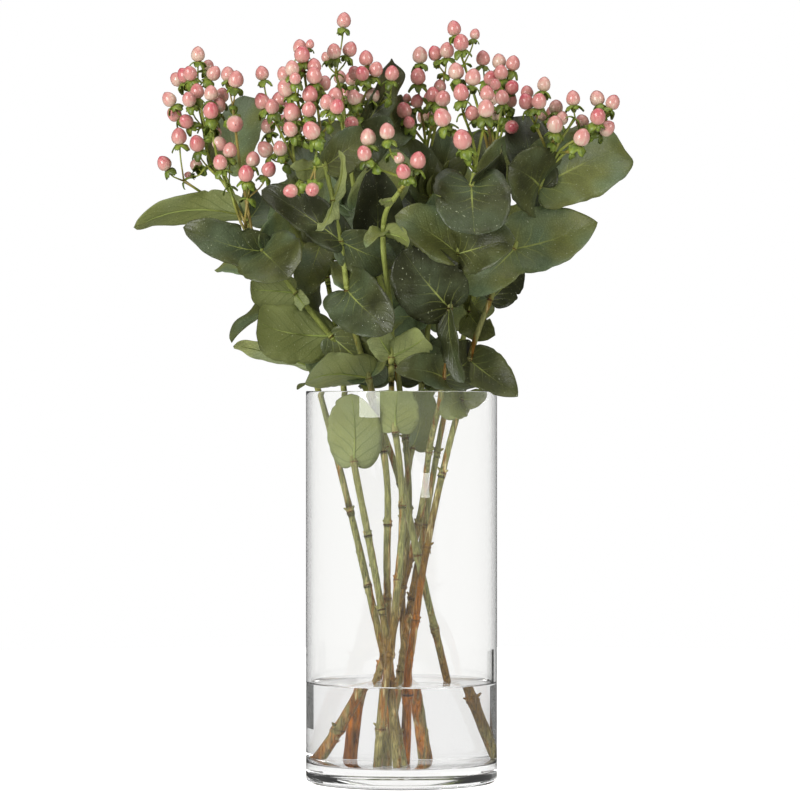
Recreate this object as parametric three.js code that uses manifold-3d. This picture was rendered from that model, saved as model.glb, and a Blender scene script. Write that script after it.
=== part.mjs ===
// Ten cut hypericum stems, with their leaves and berry sprays, standing in water in a clear glass cylinder
// vase. Units are millimetres, +Z is up, and the origin is the centre of the vase's foot.
import * as THREE from "three";
import { mergeVertices } from "three/addons/utils/BufferGeometryUtils.js";
import Module from "manifold-3d";

const wasm = await Module();
wasm.setup();

// Driving dimensions
const VASE = { height: 300, radius: 73.4, wall: 3.6, floor: 15, footRound: 4, rimRound: 0.8, sides: 32 };
const WATER = { level: 76, gap: 0.3 };
const STEM = { footRadius: 3.2, topRadius: 1.7, sides: 5 };
const JOINT = { swell: 1.28, length: 3, spacing: 95 };
const LEAF = { thickness: 0.8, foldDegrees: 14, arch: 0.1, rootShare: 0.05, rootWidth: 1.8, tipWidth: 0.1 };
const STALK = { hubRadius: 2, hubLength: 3, branchRadius: 1.3, pedicelRadius: 0.75 };
const BERRY = { length: 12.4, width: 11.6, spacing: 12.4, sides: 5 };
const CALYX = { reach: 6.8, thickness: 1.6, droop: 1.6 };
const SEAT_GAP = 0.3; // between pieces that rest on each other

// Places are given on a front elevation: a column and a row, counted in squares to the right and down, and
// the depth in mm behind the vase's axis. The elevation is drawn in perspective, from EYE mm away and level
// with the rim, and a square on the axis measures SQUARE mm.
const SHEET = { axisColumn: 401.5, rimRow: 391, footRow: 781.4 };
const EYE = 3043;
const SQUARE = VASE.height / (SHEET.footRow - SHEET.rimRow);

function place([column, row, depth]) {
  const square = (SQUARE * (EYE + depth)) / EYE;
  const x = (column - SHEET.axisColumn) * square;
  return new THREE.Vector3(x, depth, VASE.height + (SHEET.rimRow - row) * square);
}

// Each stem has its route from its foot to its top joint, its leaves and its spray.
// A leaf has the row where it leaves the stem, its tip, its width in mm, its roll in degrees from facing
// front, whether it turns its underside to the front, and how many mm its middle sags, if it does.
// A spray has cymes: the fork that each one starts from, the bend on its branch, if any, and its berries,
// with their size where it isn't 1. Some sprays also hold a leaf, or bract.
const STEMS = [
  {
    name: "outer_left",
    route: [
      [404, 772, -34], [388, 675, -20], [366.5, 580, -6], [350, 510, 2], [320, 396, 6], [302, 345, 16],
      [262, 252, 36], [240, 208, 42],
    ],
    leaves: [
      { row: 216, tip: [132, 228, 8], width: 30, roll: -36, under: true },
      { row: 222, tip: [262, 196, 100], width: 36, roll: 20 },
      { row: 264, tip: [222, 262, 96], width: 38, roll: 25 },
      { row: 304, tip: [231, 342, 10], width: 34, roll: 76 },
      { row: 304, tip: [322, 292, 84], width: 34, roll: 20 },
      { row: 366, tip: [233, 345, -10], width: 22, roll: -40, under: true },
      { row: 366, tip: [352, 350, 72], width: 30, roll: 20 },
    ],
    bracts: [{ from: [212, 168, 50], tip: [250, 101, 84], width: 34, roll: -10 }],
    cymes: [
      { fork: [184, 181, 34], bend: [212, 198, 44], berries: [[164, 163, 26], [179, 136, 22, 1.1]] },
      { fork: [207, 166, 40], berries: [[197, 143, 24, 1.1]] },
      { fork: [203, 127, 40], bend: [209, 158, 44], berries: [[169, 99, 34], [186, 121, 24]] },
      {
        fork: [198, 88, 48],
        bend: [206, 130, 54],
        berries: [[177, 79, 58], [190, 73, 34], [198, 54, 46], [214, 73, 40]],
      },
      { fork: [216, 150, 72], berries: [[210, 132, 82], [214, 114, 66]] },
    ],
  },
  {
    name: "left",
    route: [
      [468, 772, 26], [446, 675, 12], [425, 588, -5], [402, 489, -6], [386, 440, -2], [357, 372, -10],
      [316, 318, -24], [289, 285, -24], [255, 242, -20],
    ],
    leaves: [
      { row: 251, tip: [184, 229, -44], width: 34, roll: 12, sag: 4 },
      { row: 251, tip: [276, 284, -66], width: 48, roll: -5 },
      { row: 293, tip: [250, 286, -46], width: 26, roll: 15, under: true },
      { row: 293, tip: [306, 307, -42], width: 12, roll: 10, under: true },
      { row: 336, tip: [257, 325, -62], width: 42, roll: 8, under: true },
      { row: 336, tip: [385, 378, -4], width: 28, roll: 10 },
    ],
    cymes: [
      { fork: [229, 187, -26], berries: [[220, 162, -36], [230, 150, -26]] },
      { fork: [248, 198, -28], berries: [[246, 173, -44, 1.1], [269, 169, -36]] },
      { fork: [211, 126, -2], bend: [221, 170, -14], berries: [[211, 110, -14, 1.1], [215, 133, 10]] },
      { fork: [233, 106, -6], bend: [240, 165, -12], berries: [[228, 74, 4], [235, 124, -24, 1.2]] },
    ],
  },
  {
    name: "inner_left",
    route: [
      [398, 772, -56], [391, 678, -41], [387, 640, -38], [378, 588, -34], [366.5, 526, -30],
      [354.5, 464, -26], [345, 400, -10], [341, 362, -4], [327, 278, 8], [313, 215, 16], [302, 184, 18],
    ],
    leaves: [
      { row: 455, tip: [358, 396, -60], width: 36, roll: 0, under: true },
      { row: 245, tip: [305, 294, -8], width: 26, roll: 10 },
      { row: 245, tip: [350, 232, 78], width: 36, roll: 15 },
      { row: 222, tip: [338, 151, -6], width: 26, roll: 62, under: true },
      { row: 200, tip: [268, 206, 50], width: 36, roll: 20 },
      { row: 206, tip: [306, 186, 64], width: 30, roll: 20 },
    ],
    cymes: [
      { fork: [285, 163, 8], berries: [[280, 148, -2], [265, 149, 6, 1.1]] },
      { fork: [276, 122, 6], bend: [292, 158, 12], berries: [[262, 101, 8, 1.1], [262, 73, 10, 0.95]] },
      { fork: [292, 138, 46], berries: [[284, 122, 54], [297, 126, 56]] },
    ],
  },
  {
    name: "mid_left",
    route: [
      [389, 772, -38], [388.5, 684, -29], [388, 640, -25], [387, 562, -22], [387, 480, -18],
      [374, 400, -17], [352, 320, -34], [342, 250, -48], [333, 200, -54], [321, 150, -56],
    ],
    leaves: [
      { row: 378, tip: [304, 388, -86], width: 26, roll: -60, under: true },
      { row: 290, tip: [392, 331, -80], width: 42, roll: 5 },
      { row: 241, tip: [262, 188, -60], width: 36, roll: 20 },
      { row: 241, tip: [394, 262, -26], width: 34, roll: 15 },
      { row: 166, tip: [293, 172, -84], width: 18, roll: 25, under: true },
      { row: 166, tip: [366, 134, -22], width: 32, roll: 20 },
    ],
    cymes: [
      { fork: [315, 167, -74], berries: [[290, 191, -84, 0.95], [312, 190, -88, 0.95]] },
      { fork: [320, 139, -69], berries: [[311, 130, -76, 1.2]] },
      { fork: [330, 124, -60], berries: [[327, 102, -64], [337, 106, -78]] },
      { fork: [302, 140, -60], berries: [[292, 112, -56, 1.2]] },
      { fork: [309, 124, -56], berries: [[310, 94, -54, 1.1]] },
      { fork: [297, 98, -44], bend: [305, 128, -50], berries: [[285, 88, -52, 1.1], [292, 68, -54]] },
      { fork: [316, 96, -42], bend: [320, 128, -50], berries: [[314, 75, -54, 1.1]] },
      { fork: [304, 72, -32], bend: [309, 102, -38], berries: [[302, 54, -44, 1.1]] },
    ],
  },
  {
    name: "mid_tall",
    route: [
      [344, 772, 32], [374, 686, 18], [388, 648, 11], [397, 615, 6], [403, 580, 0], [409, 500, 8],
      [401, 400, 18], [385, 300, 18], [360, 215, 18], [346, 144, 20],
    ],
    leaves: [
      { row: 158, tip: [390, 118, 4], width: 34, roll: 15 },
      { row: 158, tip: [320, 122, 86], width: 32, roll: 20 },
      { row: 212, tip: [404, 152, 32], width: 40, roll: 10 },
      { row: 212, tip: [344, 186, 100], width: 34, roll: 15 },
      { row: 262, tip: [374, 168, -16], width: 44, roll: 10 },
      { row: 262, tip: [386, 262, 90], width: 38, roll: 20 },
    ],
    bracts: [{ from: [359, 116, 2], tip: [394, 62, 52], width: 20, roll: 40 }],
    cymes: [
      { fork: [336, 74, 4], bend: [344, 108, 12], berries: [[344, 20, 2], [334, 51, -6], [350, 49, 6]] },
      { fork: [369, 86, 12], bend: [357, 114, 18], berries: [[366, 58, 8], [362, 73, -4]] },
      { fork: [359, 116, 2], berries: [[354, 97, -8], [351, 123, -12]] },
      { fork: [390, 98, 12], bend: [370, 112, 22], berries: [[392, 73, 4]] },
      { fork: [352, 112, 62], berries: [[346, 94, 72], [359, 100, 74]] },
    ],
  },
  {
    name: "mid_front",
    route: [
      [379, 772, -46], [386, 684, -49], [391, 650, -46], [397, 588, -42], [402, 530, -38],
      [401, 478, -35], [392, 400, -38], [391, 320, -46], [383, 240, -56], [386, 212, -62],
      [399, 192, -68],
    ],
    leaves: [
      { row: 432, tip: [398, 392, -60], width: 34, roll: 0, under: true },
      { row: 357, tip: [424, 337, -76], width: 24, roll: 10, under: true },
      { row: 357, tip: [376, 336, -72], width: 20, roll: 10, under: true },
      { row: 233, tip: [366, 246, -86], width: 14, roll: 35 },
      { row: 233, tip: [412, 247, -94], width: 16, roll: 40, under: true },
      { row: 200, tip: [380, 203, -84], width: 7, roll: 20, under: true },
    ],
    cymes: [
      { fork: [373, 167, -76], berries: [[364, 153, -84], [368, 137, -74, 1.1]] },
      { fork: [391, 153, -78], berries: [[387, 131, -82, 1.05]] },
      { fork: [412, 182, -80], berries: [[418, 160, -84, 1.1], [403, 171, -92], [399, 158, -78, 0.75]] },
    ],
  },
  {
    name: "mid_back",
    route: [
      [417, 772, 52], [410, 690, 41], [405, 650, 36], [402, 600, 34], [402, 540, 34], [407, 480, 34],
      [421, 391, 38], [431, 290, 52], [432, 240, 60], [428, 162, 70],
    ],
    leaves: [
      { row: 198, tip: [470, 168, 114], width: 38, roll: 20 },
      { row: 222, tip: [396, 190, 108], width: 38, roll: 15 },
      { row: 222, tip: [460, 172, 22], width: 30, roll: 15 },
      { row: 266, tip: [440, 232, 122], width: 38, roll: 15 },
      { row: 266, tip: [404, 214, 22], width: 36, roll: 10 },
      { row: 316, tip: [380, 318, 90], width: 36, roll: 20 },
      { row: 316, tip: [476, 300, 88], width: 36, roll: 20 },
    ],
    cymes: [
      { fork: [419, 98, 56], bend: [424, 130, 64], berries: [[420, 55, 52, 1.1], [418, 76, 44, 1.1]] },
      { fork: [413, 128, 54], berries: [[404, 110, 46, 1.1]] },
      { fork: [436, 114, 52], berries: [[443, 98, 30, 1.1]] },
      { fork: [445, 74, 58], bend: [438, 116, 66], berries: [[435, 53, 56], [447, 50, 48, 1.05]] },
      { fork: [430, 134, 92], berries: [[424, 116, 102], [437, 112, 100]] },
    ],
  },
  {
    name: "mid_right",
    route: [
      [370, 772, 46], [377, 684, 41], [394, 619, 30], [410, 560, 16], [422, 506, 4], [430, 445, -14],
      [441, 394, -30], [448, 320, -42], [461, 235, -50], [474, 173, -56],
    ],
    leaves: [
      { row: 190, tip: [476, 234, -102], width: 56, roll: 0 },
      { row: 190, tip: [500, 150, -4], width: 32, roll: 50 },
      { row: 254, tip: [396, 218, -60], width: 38, roll: -22 },
      { row: 254, tip: [513, 240, -74], width: 38, roll: 10 },
      { row: 308, tip: [404, 264, -68], width: 44, roll: 0 },
      { row: 308, tip: [455, 384, -66], width: 24, roll: 50 },
      { row: 378, tip: [400, 366, -80], width: 26, roll: 25 },
    ],
    cymes: [
      { fork: [469, 155, -70], berries: [[462, 139, -80, 1.3]] },
      { fork: [451, 130, -68], bend: [463, 156, -62], berries: [[442, 117, -76, 1.2]] },
      { fork: [483, 130, -58], berries: [[486, 108, -68, 1.15], [487, 93, -54]] },
      {
        fork: [463, 113, -48],
        bend: [474, 146, -52],
        berries: [[461, 92, -58, 1.1], [473, 77, -48, 1.1]],
      },
    ],
  },
  {
    name: "inner_right",
    route: [
      [386, 772, -16], [399, 684, -3], [405, 640, 5], [413, 590, 20], [424, 530, 24], [436, 460, 26],
      [449, 395, 28], [474, 295, 32], [484, 245, 38], [493, 173, 45],
    ],
    leaves: [
      { row: 182, tip: [520, 132, 20], width: 38, roll: 15 },
      { row: 182, tip: [470, 128, 92], width: 36, roll: 20 },
      { row: 232, tip: [546, 216, 78], width: 36, roll: 15 },
      { row: 232, tip: [468, 224, 84], width: 34, roll: 20 },
      { row: 312, tip: [491, 334, 2], width: 24, roll: 25 },
      { row: 312, tip: [500, 262, 84], width: 34, roll: 20 },
    ],
    cymes: [
      {
        fork: [464, 64, 26],
        bend: [478, 108, 34],
        berries: [[454, 28, 28], [461, 42, 12, 1.1], [475, 34, 30, 0.72]],
      },
      { fork: [485, 84, 40], bend: [488, 120, 44], berries: [[483, 58, 38]] },
      {
        fork: [505, 94, 30],
        bend: [498, 130, 38],
        berries: [[499, 61, 36], [501, 72, 20], [513, 63, 26]],
      },
      { fork: [507, 118, 22], berries: [[502, 97, 8]] },
      { fork: [492, 132, 72], berries: [[486, 112, 82], [498, 114, 80]] },
    ],
  },
  {
    name: "right",
    route: [
      [404, 772, -18], [408, 671, -24], [412, 643, -23], [423, 569, -21], [433, 515, -18],
      [449, 445, -12], [463, 392, -8], [472, 350, -6], [497, 283, -3], [516, 245, 0], [545, 173, 4],
    ],
    leaves: [
      { row: 192, tip: [631, 150, 44], width: 50, roll: -28, sag: 9 },
      { row: 192, tip: [505, 170, -36], width: 48, roll: 8 },
      { row: 249, tip: [595, 221, -16], width: 46, roll: -18, sag: 7 },
      { row: 249, tip: [468, 290, -32], width: 34, roll: 15 },
      { row: 300, tip: [517, 262, 32], width: 26, roll: 15 },
      { row: 360, tip: [517, 381, -24], width: 36, roll: -8 },
      { row: 412, tip: [482, 396, -14], width: 14, roll: 15 },
    ],
    cymes: [
      {
        fork: [535, 124, -4],
        bend: [547, 153, -2],
        berries: [[526, 101, -12, 1.05], [539, 101, -16, 1.05], [544, 84, 0, 0.95]],
      },
      { fork: [553, 142, -10], bend: [548, 156, -2], berries: [[555, 124, -22, 1.15]] },
      { fork: [573, 152, -30], berries: [[582, 137, -36, 1.15]] },
      { fork: [575, 118, -8], bend: [556, 148, -8], berries: [[573, 98, -6]] },
      { fork: [592, 132, -4], bend: [564, 147, -10], berries: [[607, 128, -8, 1.1]] },
      { fork: [604, 115, -4], bend: [572, 146, -8], berries: [[597, 98, 6, 1.05], [613, 102, 0]] },
      { fork: [546, 132, 34], berries: [[540, 116, 42], [553, 112, 40]] },
    ],
  },
];

// A closed geometry as a solid that can be joined and cut.
function solidOf(geometry) {
  const bare = geometry.clone();
  bare.deleteAttribute("normal");
  bare.deleteAttribute("uv");
  const merged = mergeVertices(bare, 1e-4);
  const vertProperties = new Float32Array(merged.attributes.position.array);
  const triVerts = new Uint32Array(merged.index.array);
  return new wasm.Manifold(new wasm.Mesh({ numProp: 3, vertProperties, triVerts }));
}

function geometryOf(solid) {
  const mesh = solid.getMesh();
  const geometry = new THREE.BufferGeometry();
  geometry.setAttribute("position", new THREE.BufferAttribute(mesh.vertProperties, 3));
  geometry.setIndex(new THREE.BufferAttribute(mesh.triVerts, 1));
  geometry.computeVertexNormals();
  return geometry;
}

const joined = (solids) => solids.reduce((whole, piece) => whole.add(piece));

const evenly = (count) => Array.from({ length: count + 1 }, (_, i) => i / count);

// A round body from an outline of [radius, height] pairs, turned about the vertical.
function turned(outline, sides) {
  const points = outline.map(([radius, height]) => new THREE.Vector2(radius, height));
  return new THREE.LatheGeometry(points, sides).rotateX(Math.PI / 2);
}

// Two directions square to a third: one across it, and one as near to the front as it can be.
function crossAxes(along) {
  const across = new THREE.Vector3().crossVectors(along, new THREE.Vector3(0, -1, 0)).normalize();
  return { across, front: across.clone().cross(along).normalize() };
}

// A stalk along a curve, with a ring at each station and the radius that the rule gives there.
function stalk(curve, stations, radiusAt, sides) {
  const geometry = new THREE.CylinderGeometry(1, 1, 1, sides, stations.length - 1);
  const position = geometry.attributes.position;
  for (let i = 0; i < position.count; i += 1) {
    const station = stations[Math.round((position.getY(i) + 0.5) * (stations.length - 1))];
    const { across, front } = crossAxes(curve.getTangent(station));
    const vertex = curve
      .getPoint(station)
      .addScaledVector(across, -position.getX(i) * radiusAt(station))
      .addScaledVector(front, -position.getZ(i) * radiusAt(station));
    position.setXYZ(i, vertex.x, vertex.y, vertex.z);
  }
  return solidOf(geometry);
}

// The station at which a curve that always climbs reaches a height.
function stationAtHeight(curve, height) {
  let low = 0;
  let high = 1;
  for (let i = 0; i < 30; i += 1) {
    const middle = (low + high) / 2;
    if (curve.getPoint(middle).z < height) low = middle;
    else high = middle;
  }
  return low;
}

// The station at which a stem crosses a row of the elevation. Its depth there shifts the height a little.
function stationAtRow(curve, row) {
  let station = 0.5;
  for (let i = 0; i < 4; i += 1) {
    const depth = curve.getPoint(station).y;
    station = stationAtHeight(curve, place([SHEET.axisColumn, row, depth]).z);
  }
  return station;
}

// The half width of a leaf at a share of its length: a narrow root, a broad round middle and a blunt tip.
function halfWidthAt(share, width) {
  if (share <= LEAF.rootShare) return LEAF.rootWidth / 2;
  const fullest = 0.38;
  const towardsBase = 0.42;
  const towardsTip = (towardsBase * (1 - fullest)) / fullest;
  const peak = fullest ** towardsBase * (1 - fullest) ** towardsTip;
  const oval = (share ** towardsBase * (1 - share) ** towardsTip) / peak;
  return (width / 2) * Math.max(LEAF.tipWidth, oval);
}

// A leaf is one thin arched blade, folded a little along its rib. It grows from the middle of its stem.
function leafBlade(base, leaf) {
  const tip = place(leaf.tip);
  const along = tip.clone().sub(base);
  const length = along.length();
  along.normalize();
  const roll = THREE.MathUtils.degToRad(leaf.roll + (leaf.under ? 180 : 0));
  const { across, front } = crossAxes(along);
  const side = across.applyAxisAngle(along, roll);
  const up = front.applyAxisAngle(along, roll);
  const fold = THREE.MathUtils.degToRad(LEAF.foldDegrees);
  const pointAt = (share, edge, height) => {
    const half = halfWidthAt(share, leaf.width);
    const bow = 4 * share * (1 - share);
    const point = base
      .clone()
      .addScaledVector(along, length * share)
      .addScaledVector(side, edge * half * Math.cos(fold))
      .addScaledVector(up, Math.abs(edge) * half * Math.sin(fold) + LEAF.arch * length * bow + height);
    point.z -= (leaf.sag ?? 0) * bow;
    return point;
  };
  return bladeSolid(pointAt, [0, LEAF.rootShare, 0.16, 0.42, 0.76, 1]);
}

// A blade with three points, from edge to rib to edge, at each share of its length on both its faces.
function bladeSolid(pointAt, shares) {
  const positions = [];
  for (const height of [LEAF.thickness / 2, -LEAF.thickness / 2])
    for (const share of shares)
      for (const edge of [-1, 0, 1]) positions.push(...pointAt(share, edge, height));
  const last = shares.length - 1;
  const under = shares.length * 3;
  const at = (row, column) => row * 3 + column;
  const faces = [];
  for (let row = 0; row < last; row += 1)
    for (const column of [0, 1]) {
      // Both faces are split along the same diagonal.
      const [a, b] = [at(row, column), at(row, column + 1)];
      const [c, d] = [at(row + 1, column + 1), at(row + 1, column)];
      faces.push(a, b, c, a, c, d);
      faces.push(a + under, c + under, b + under, a + under, d + under, c + under);
    }
  const rows = shares.map((_, row) => row);
  const rim = [
    ...rows.map((row) => at(row, 2)),
    at(last, 1),
    ...rows.map((row) => at(last - row, 0)),
    at(0, 1),
  ];
  rim.forEach((a, i) => {
    const b = rim[(i + 1) % rim.length];
    faces.push(a, a + under, b + under, a, b + under, b);
  });
  const geometry = new THREE.BufferGeometry();
  geometry.setAttribute("position", new THREE.Float32BufferAttribute(positions, 3));
  geometry.setIndex(faces);
  return solidOf(geometry);
}

const stemCurve = (stem) => new THREE.CatmullRomCurve3(stem.route.map(place), false, "centripetal");
const stemRadiusAt = (station) => THREE.MathUtils.lerp(STEM.footRadius, STEM.topRadius, station);

// The joints of a stem: those that hold leaves, and below them the bare ones whose leaves were stripped off.
function jointStations(stem, curve) {
  const leafy = [...new Set(stem.leaves.map((leaf) => leaf.row))].map((row) => stationAtRow(curve, row));
  const lowest = curve.getPoint(Math.min(...leafy)).z;
  const bareCount = Math.floor((lowest - WATER.level / 2) / JOINT.spacing);
  const bareHeights = Array.from({ length: bareCount }, (_, i) => lowest - (i + 1) * JOINT.spacing);
  const bare = bareHeights.map((height) => stationAtHeight(curve, height));
  return [...leafy, ...bare];
}

// The woody stem, swollen at its joints and cut level above the vase's floor, with its leaves.
function leafyStem(stem) {
  const curve = stemCurve(stem);
  const joints = jointStations(stem, curve);
  const reach = JOINT.length / curve.getLength();
  const clearOfJoints = (station) => joints.every((joint) => Math.abs(joint - station) > 7 * reach);
  const stations = [
    ...evenly(8).filter((station) => station === 0 || station === 1 || clearOfJoints(station)),
    ...joints.flatMap((joint) => [joint - reach, joint, joint + reach]),
  ].sort((a, b) => a - b);
  const swellAt = (station) => (joints.includes(station) ? JOINT.swell : 1);
  const wood = stalk(curve, stations, (station) => stemRadiusAt(station) * swellAt(station), STEM.sides);
  const blades = stem.leaves.map((leaf) => leafBlade(curve.getPoint(stationAtRow(curve, leaf.row)), leaf));
  return joined([wood, ...blades]).trimByPlane([0, 0, 1], VASE.floor + SEAT_GAP);
}

// A berry on its calyx: an egg that stands on its broad end and comes to a short point, and below it a
// thin collar whose corners are the tips of the five sepals.
function berryOnCalyx(size, foot, lean) {
  const outline = [
    [0, -CALYX.thickness],
    [CALYX.reach, -CALYX.droop],
    [BERRY.width * 0.52, BERRY.length * 0.26],
    [BERRY.width * 0.44, BERRY.length * 0.7],
    [0, BERRY.length],
  ].map(([radius, height]) => [radius * size, height * size]);
  const turn = new THREE.Quaternion().setFromUnitVectors(new THREE.Vector3(0, 0, 1), lean);
  return solidOf(turned(outline, BERRY.sides).applyQuaternion(turn).translate(foot.x, foot.y, foot.z));
}

// A spray's berries with their middles. Where two would touch, both shift in depth until they are clear.
function settledBerries(cymes) {
  const fruits = cymes.flatMap(({ fork, berries }) =>
    berries.map(([column, row, depth, size = 1]) => {
      const middle = place([column, row, depth]);
      return { fork, size, middle };
    }),
  );
  for (let round = 0; round < 40; round += 1)
    fruits.forEach((one, i) => {
      for (const other of fruits.slice(i + 1)) {
        const beside = Math.hypot(one.middle.x - other.middle.x, one.middle.z - other.middle.z);
        const apart = (BERRY.spacing * (one.size + other.size)) / 2;
        const behind = other.middle.y - one.middle.y;
        const wanted = beside < apart ? Math.sqrt(apart * apart - beside * beside) : 0;
        const shift = (Math.max(0, wanted - Math.abs(behind)) / 2) * (behind < 0 ? -1 : 1);
        one.middle.y -= shift;
        other.middle.y += shift;
      }
    });
  return fruits;
}

// A berry on its pedicel, which is straight and sinks into the berry's foot.
function fruit({ fork, size, middle }) {
  const start = place(fork);
  const lean = middle.clone().sub(start).normalize();
  lean.z += 0.5;
  lean.normalize();
  const foot = middle.clone().addScaledVector(lean, (-BERRY.length * size) / 2);
  const pedicel = new THREE.LineCurve3(start, foot.clone().addScaledVector(lean, 0.8));
  return [stalk(pedicel, [0, 1], () => STALK.pedicelRadius, 3), berryOnCalyx(size, foot, lean)];
}

// The spray on a stem's top joint: a hub, the branches to the forks, and the berries.
function berrySpray(stem) {
  const curve = stemCurve(stem);
  const upward = curve.getTangent(1);
  const start = curve.getPoint(1).addScaledVector(upward, SEAT_GAP);
  const hubAxis = new THREE.LineCurve3(start, start.clone().addScaledVector(upward, STALK.hubLength));
  const hub = stalk(hubAxis, [0, 1], () => STALK.hubRadius, STEM.sides);
  const root = hubAxis.getPoint(0.5);
  const branches = stem.cymes.map(({ fork, bend }) => {
    const end = place(fork);
    const turn = bend ? place(bend) : root.clone().addScaledVector(upward, root.distanceTo(end) * 0.3);
    const line = new THREE.CatmullRomCurve3([root, turn, end]);
    return stalk(line, [0, 0.5, 1], () => STALK.branchRadius, 3);
  });
  const bracts = (stem.bracts ?? []).map((leaf) => leafBlade(place(leaf.from), leaf));
  return joined([hub, ...branches, ...bracts, ...settledBerries(stem.cymes).flatMap(fruit)]);
}

// The vase: a plain cylinder with a heavy floor, a rounded foot and a rounded rim.
function vase() {
  const { height, radius, wall, floor, footRound, rimRound } = VASE;
  const inner = radius - wall;
  const outline = [
    [0, 0],
    [radius - footRound, 0],
    [radius - footRound * 0.3, footRound * 0.3],
    [radius, footRound],
    [radius, height - rimRound],
    [radius - rimRound, height],
    [inner + rimRound, height],
    [inner, height - rimRound],
    [inner, floor + footRound],
    [inner - footRound, floor],
    [0, floor],
  ];
  return turned(outline, VASE.sides);
}

// The water fills the bottom of the vase, with a plain hole round each stem.
function water() {
  const radius = VASE.radius - VASE.wall - WATER.gap;
  const bottom = VASE.floor + WATER.gap;
  const outline = [
    [0, bottom],
    [radius - VASE.footRound, bottom],
    [radius, bottom + VASE.footRound],
    [radius, WATER.level],
    [0, WATER.level],
  ];
  const holeRadiusAt = (station) => stemRadiusAt(station) * JOINT.swell + 2 * WATER.gap;
  const holes = STEMS.map((stem) => {
    const curve = stemCurve(stem);
    const past = stationAtHeight(curve, WATER.level + 20);
    const stations = evenly(3).map((share) => share * past);
    return stalk(curve, stations, holeRadiusAt, STEM.sides);
  });
  return holes.reduce((body, hole) => body.subtract(hole), solidOf(turned(outline, VASE.sides)));
}

function finish(color, roughness, opacity = 1) {
  const transparent = opacity < 1;
  return new THREE.MeshStandardMaterial({ color, roughness, metalness: 0, opacity, transparent });
}

function named(name, geometry, material) {
  const mesh = new THREE.Mesh(geometry, material);
  mesh.name = name;
  return mesh;
}

const bouquet = new THREE.Group();
bouquet.add(named("vase", vase(), finish(0xe8eeee, 0.05, 0.35)));
bouquet.add(named("water", geometryOf(water()), finish(0xdfe9ea, 0.02, 0.45)));
for (const stem of STEMS) {
  bouquet.add(named(`leafy_stem_${stem.name}`, geometryOf(leafyStem(stem)), finish(0x46583a, 0.6)));
  bouquet.add(named(`berry_spray_${stem.name}`, geometryOf(berrySpray(stem)), finish(0xe08a84, 0.35)));
}

export default bouquet;
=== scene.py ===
import math
import random

import bmesh
import bpy
from mathutils import Matrix, Vector


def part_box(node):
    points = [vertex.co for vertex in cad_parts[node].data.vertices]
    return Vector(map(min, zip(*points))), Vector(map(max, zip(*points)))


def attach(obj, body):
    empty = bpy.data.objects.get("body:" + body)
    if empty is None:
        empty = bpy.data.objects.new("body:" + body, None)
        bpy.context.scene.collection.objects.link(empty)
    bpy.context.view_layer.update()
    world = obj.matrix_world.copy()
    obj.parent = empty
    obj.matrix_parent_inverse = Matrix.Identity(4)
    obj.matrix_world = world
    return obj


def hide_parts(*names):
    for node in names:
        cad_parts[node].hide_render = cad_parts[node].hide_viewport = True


# Ten hypericum stems with berries in a glass cylinder vase. Shapes are worked out in millimetres and
# turned to metres as each piece is finished.
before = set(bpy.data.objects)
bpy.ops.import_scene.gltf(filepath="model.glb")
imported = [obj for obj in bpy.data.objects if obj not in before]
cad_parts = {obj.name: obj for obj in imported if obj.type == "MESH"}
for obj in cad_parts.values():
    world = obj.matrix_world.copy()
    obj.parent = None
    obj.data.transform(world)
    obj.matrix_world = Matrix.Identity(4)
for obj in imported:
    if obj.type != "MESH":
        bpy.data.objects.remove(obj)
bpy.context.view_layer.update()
mm = 0.001
draw = random.Random(31)  # every random choice comes from here, in a fixed order
print("frame:", len(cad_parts), "nodes")

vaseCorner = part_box("vase")[1] / mm
vaseRadius, vaseHeight = vaseCorner.x, vaseCorner.z
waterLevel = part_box("water")[1].z / mm
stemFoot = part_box("leafy_stem_mid_tall")[0].z / mm

# Places are given on a front elevation: a column and a row, counted in squares to the right and down, and
# the depth in mm behind the vase's axis. It is drawn in perspective, from eye mm away, level with the rim.
sheet = dict(axisColumn=401.5, rimRow=391, footRow=781.4, eye=3043)
square = vaseHeight / (sheet["footRow"] - sheet["rimRow"])


def place(spot):
    column, row, depth = spot
    here = square * (sheet["eye"] + depth) / sheet["eye"]
    x = (column - sheet["axisColumn"]) * here
    return Vector((x, depth, vaseHeight + (sheet["rimRow"] - row) * here))


# A leaf has its start, which is a row on its stem or a place in its spray, its tip, its width in mm and its
# roll in degrees from facing front. It may turn its underside to the front, and its middle may sag some mm.
# Some leaves also say how much they narrow to their point, where they are fullest, how far their lobes reach
# back, how many degrees their tip curls, how dark (-0.5) or light (0.5) they are, and how many drops of dew
# lie on them. That darkness is partly the leaf's own tone and partly painted shade or painted light for how
# lit the leaf stands.
def leafAt(start, tip, width, roll, **rest):
    return dict(start=start, tip=tip, width=width, roll=roll, **rest)


# A cyme has its fork and the berries on it, with their size where it isn't 1. It may have a bend on its
# branch, and more berries that fill the gaps between those.
def cymeAt(fork, berries, **rest):
    return dict(fork=fork, berries=berries, **rest)


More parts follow.
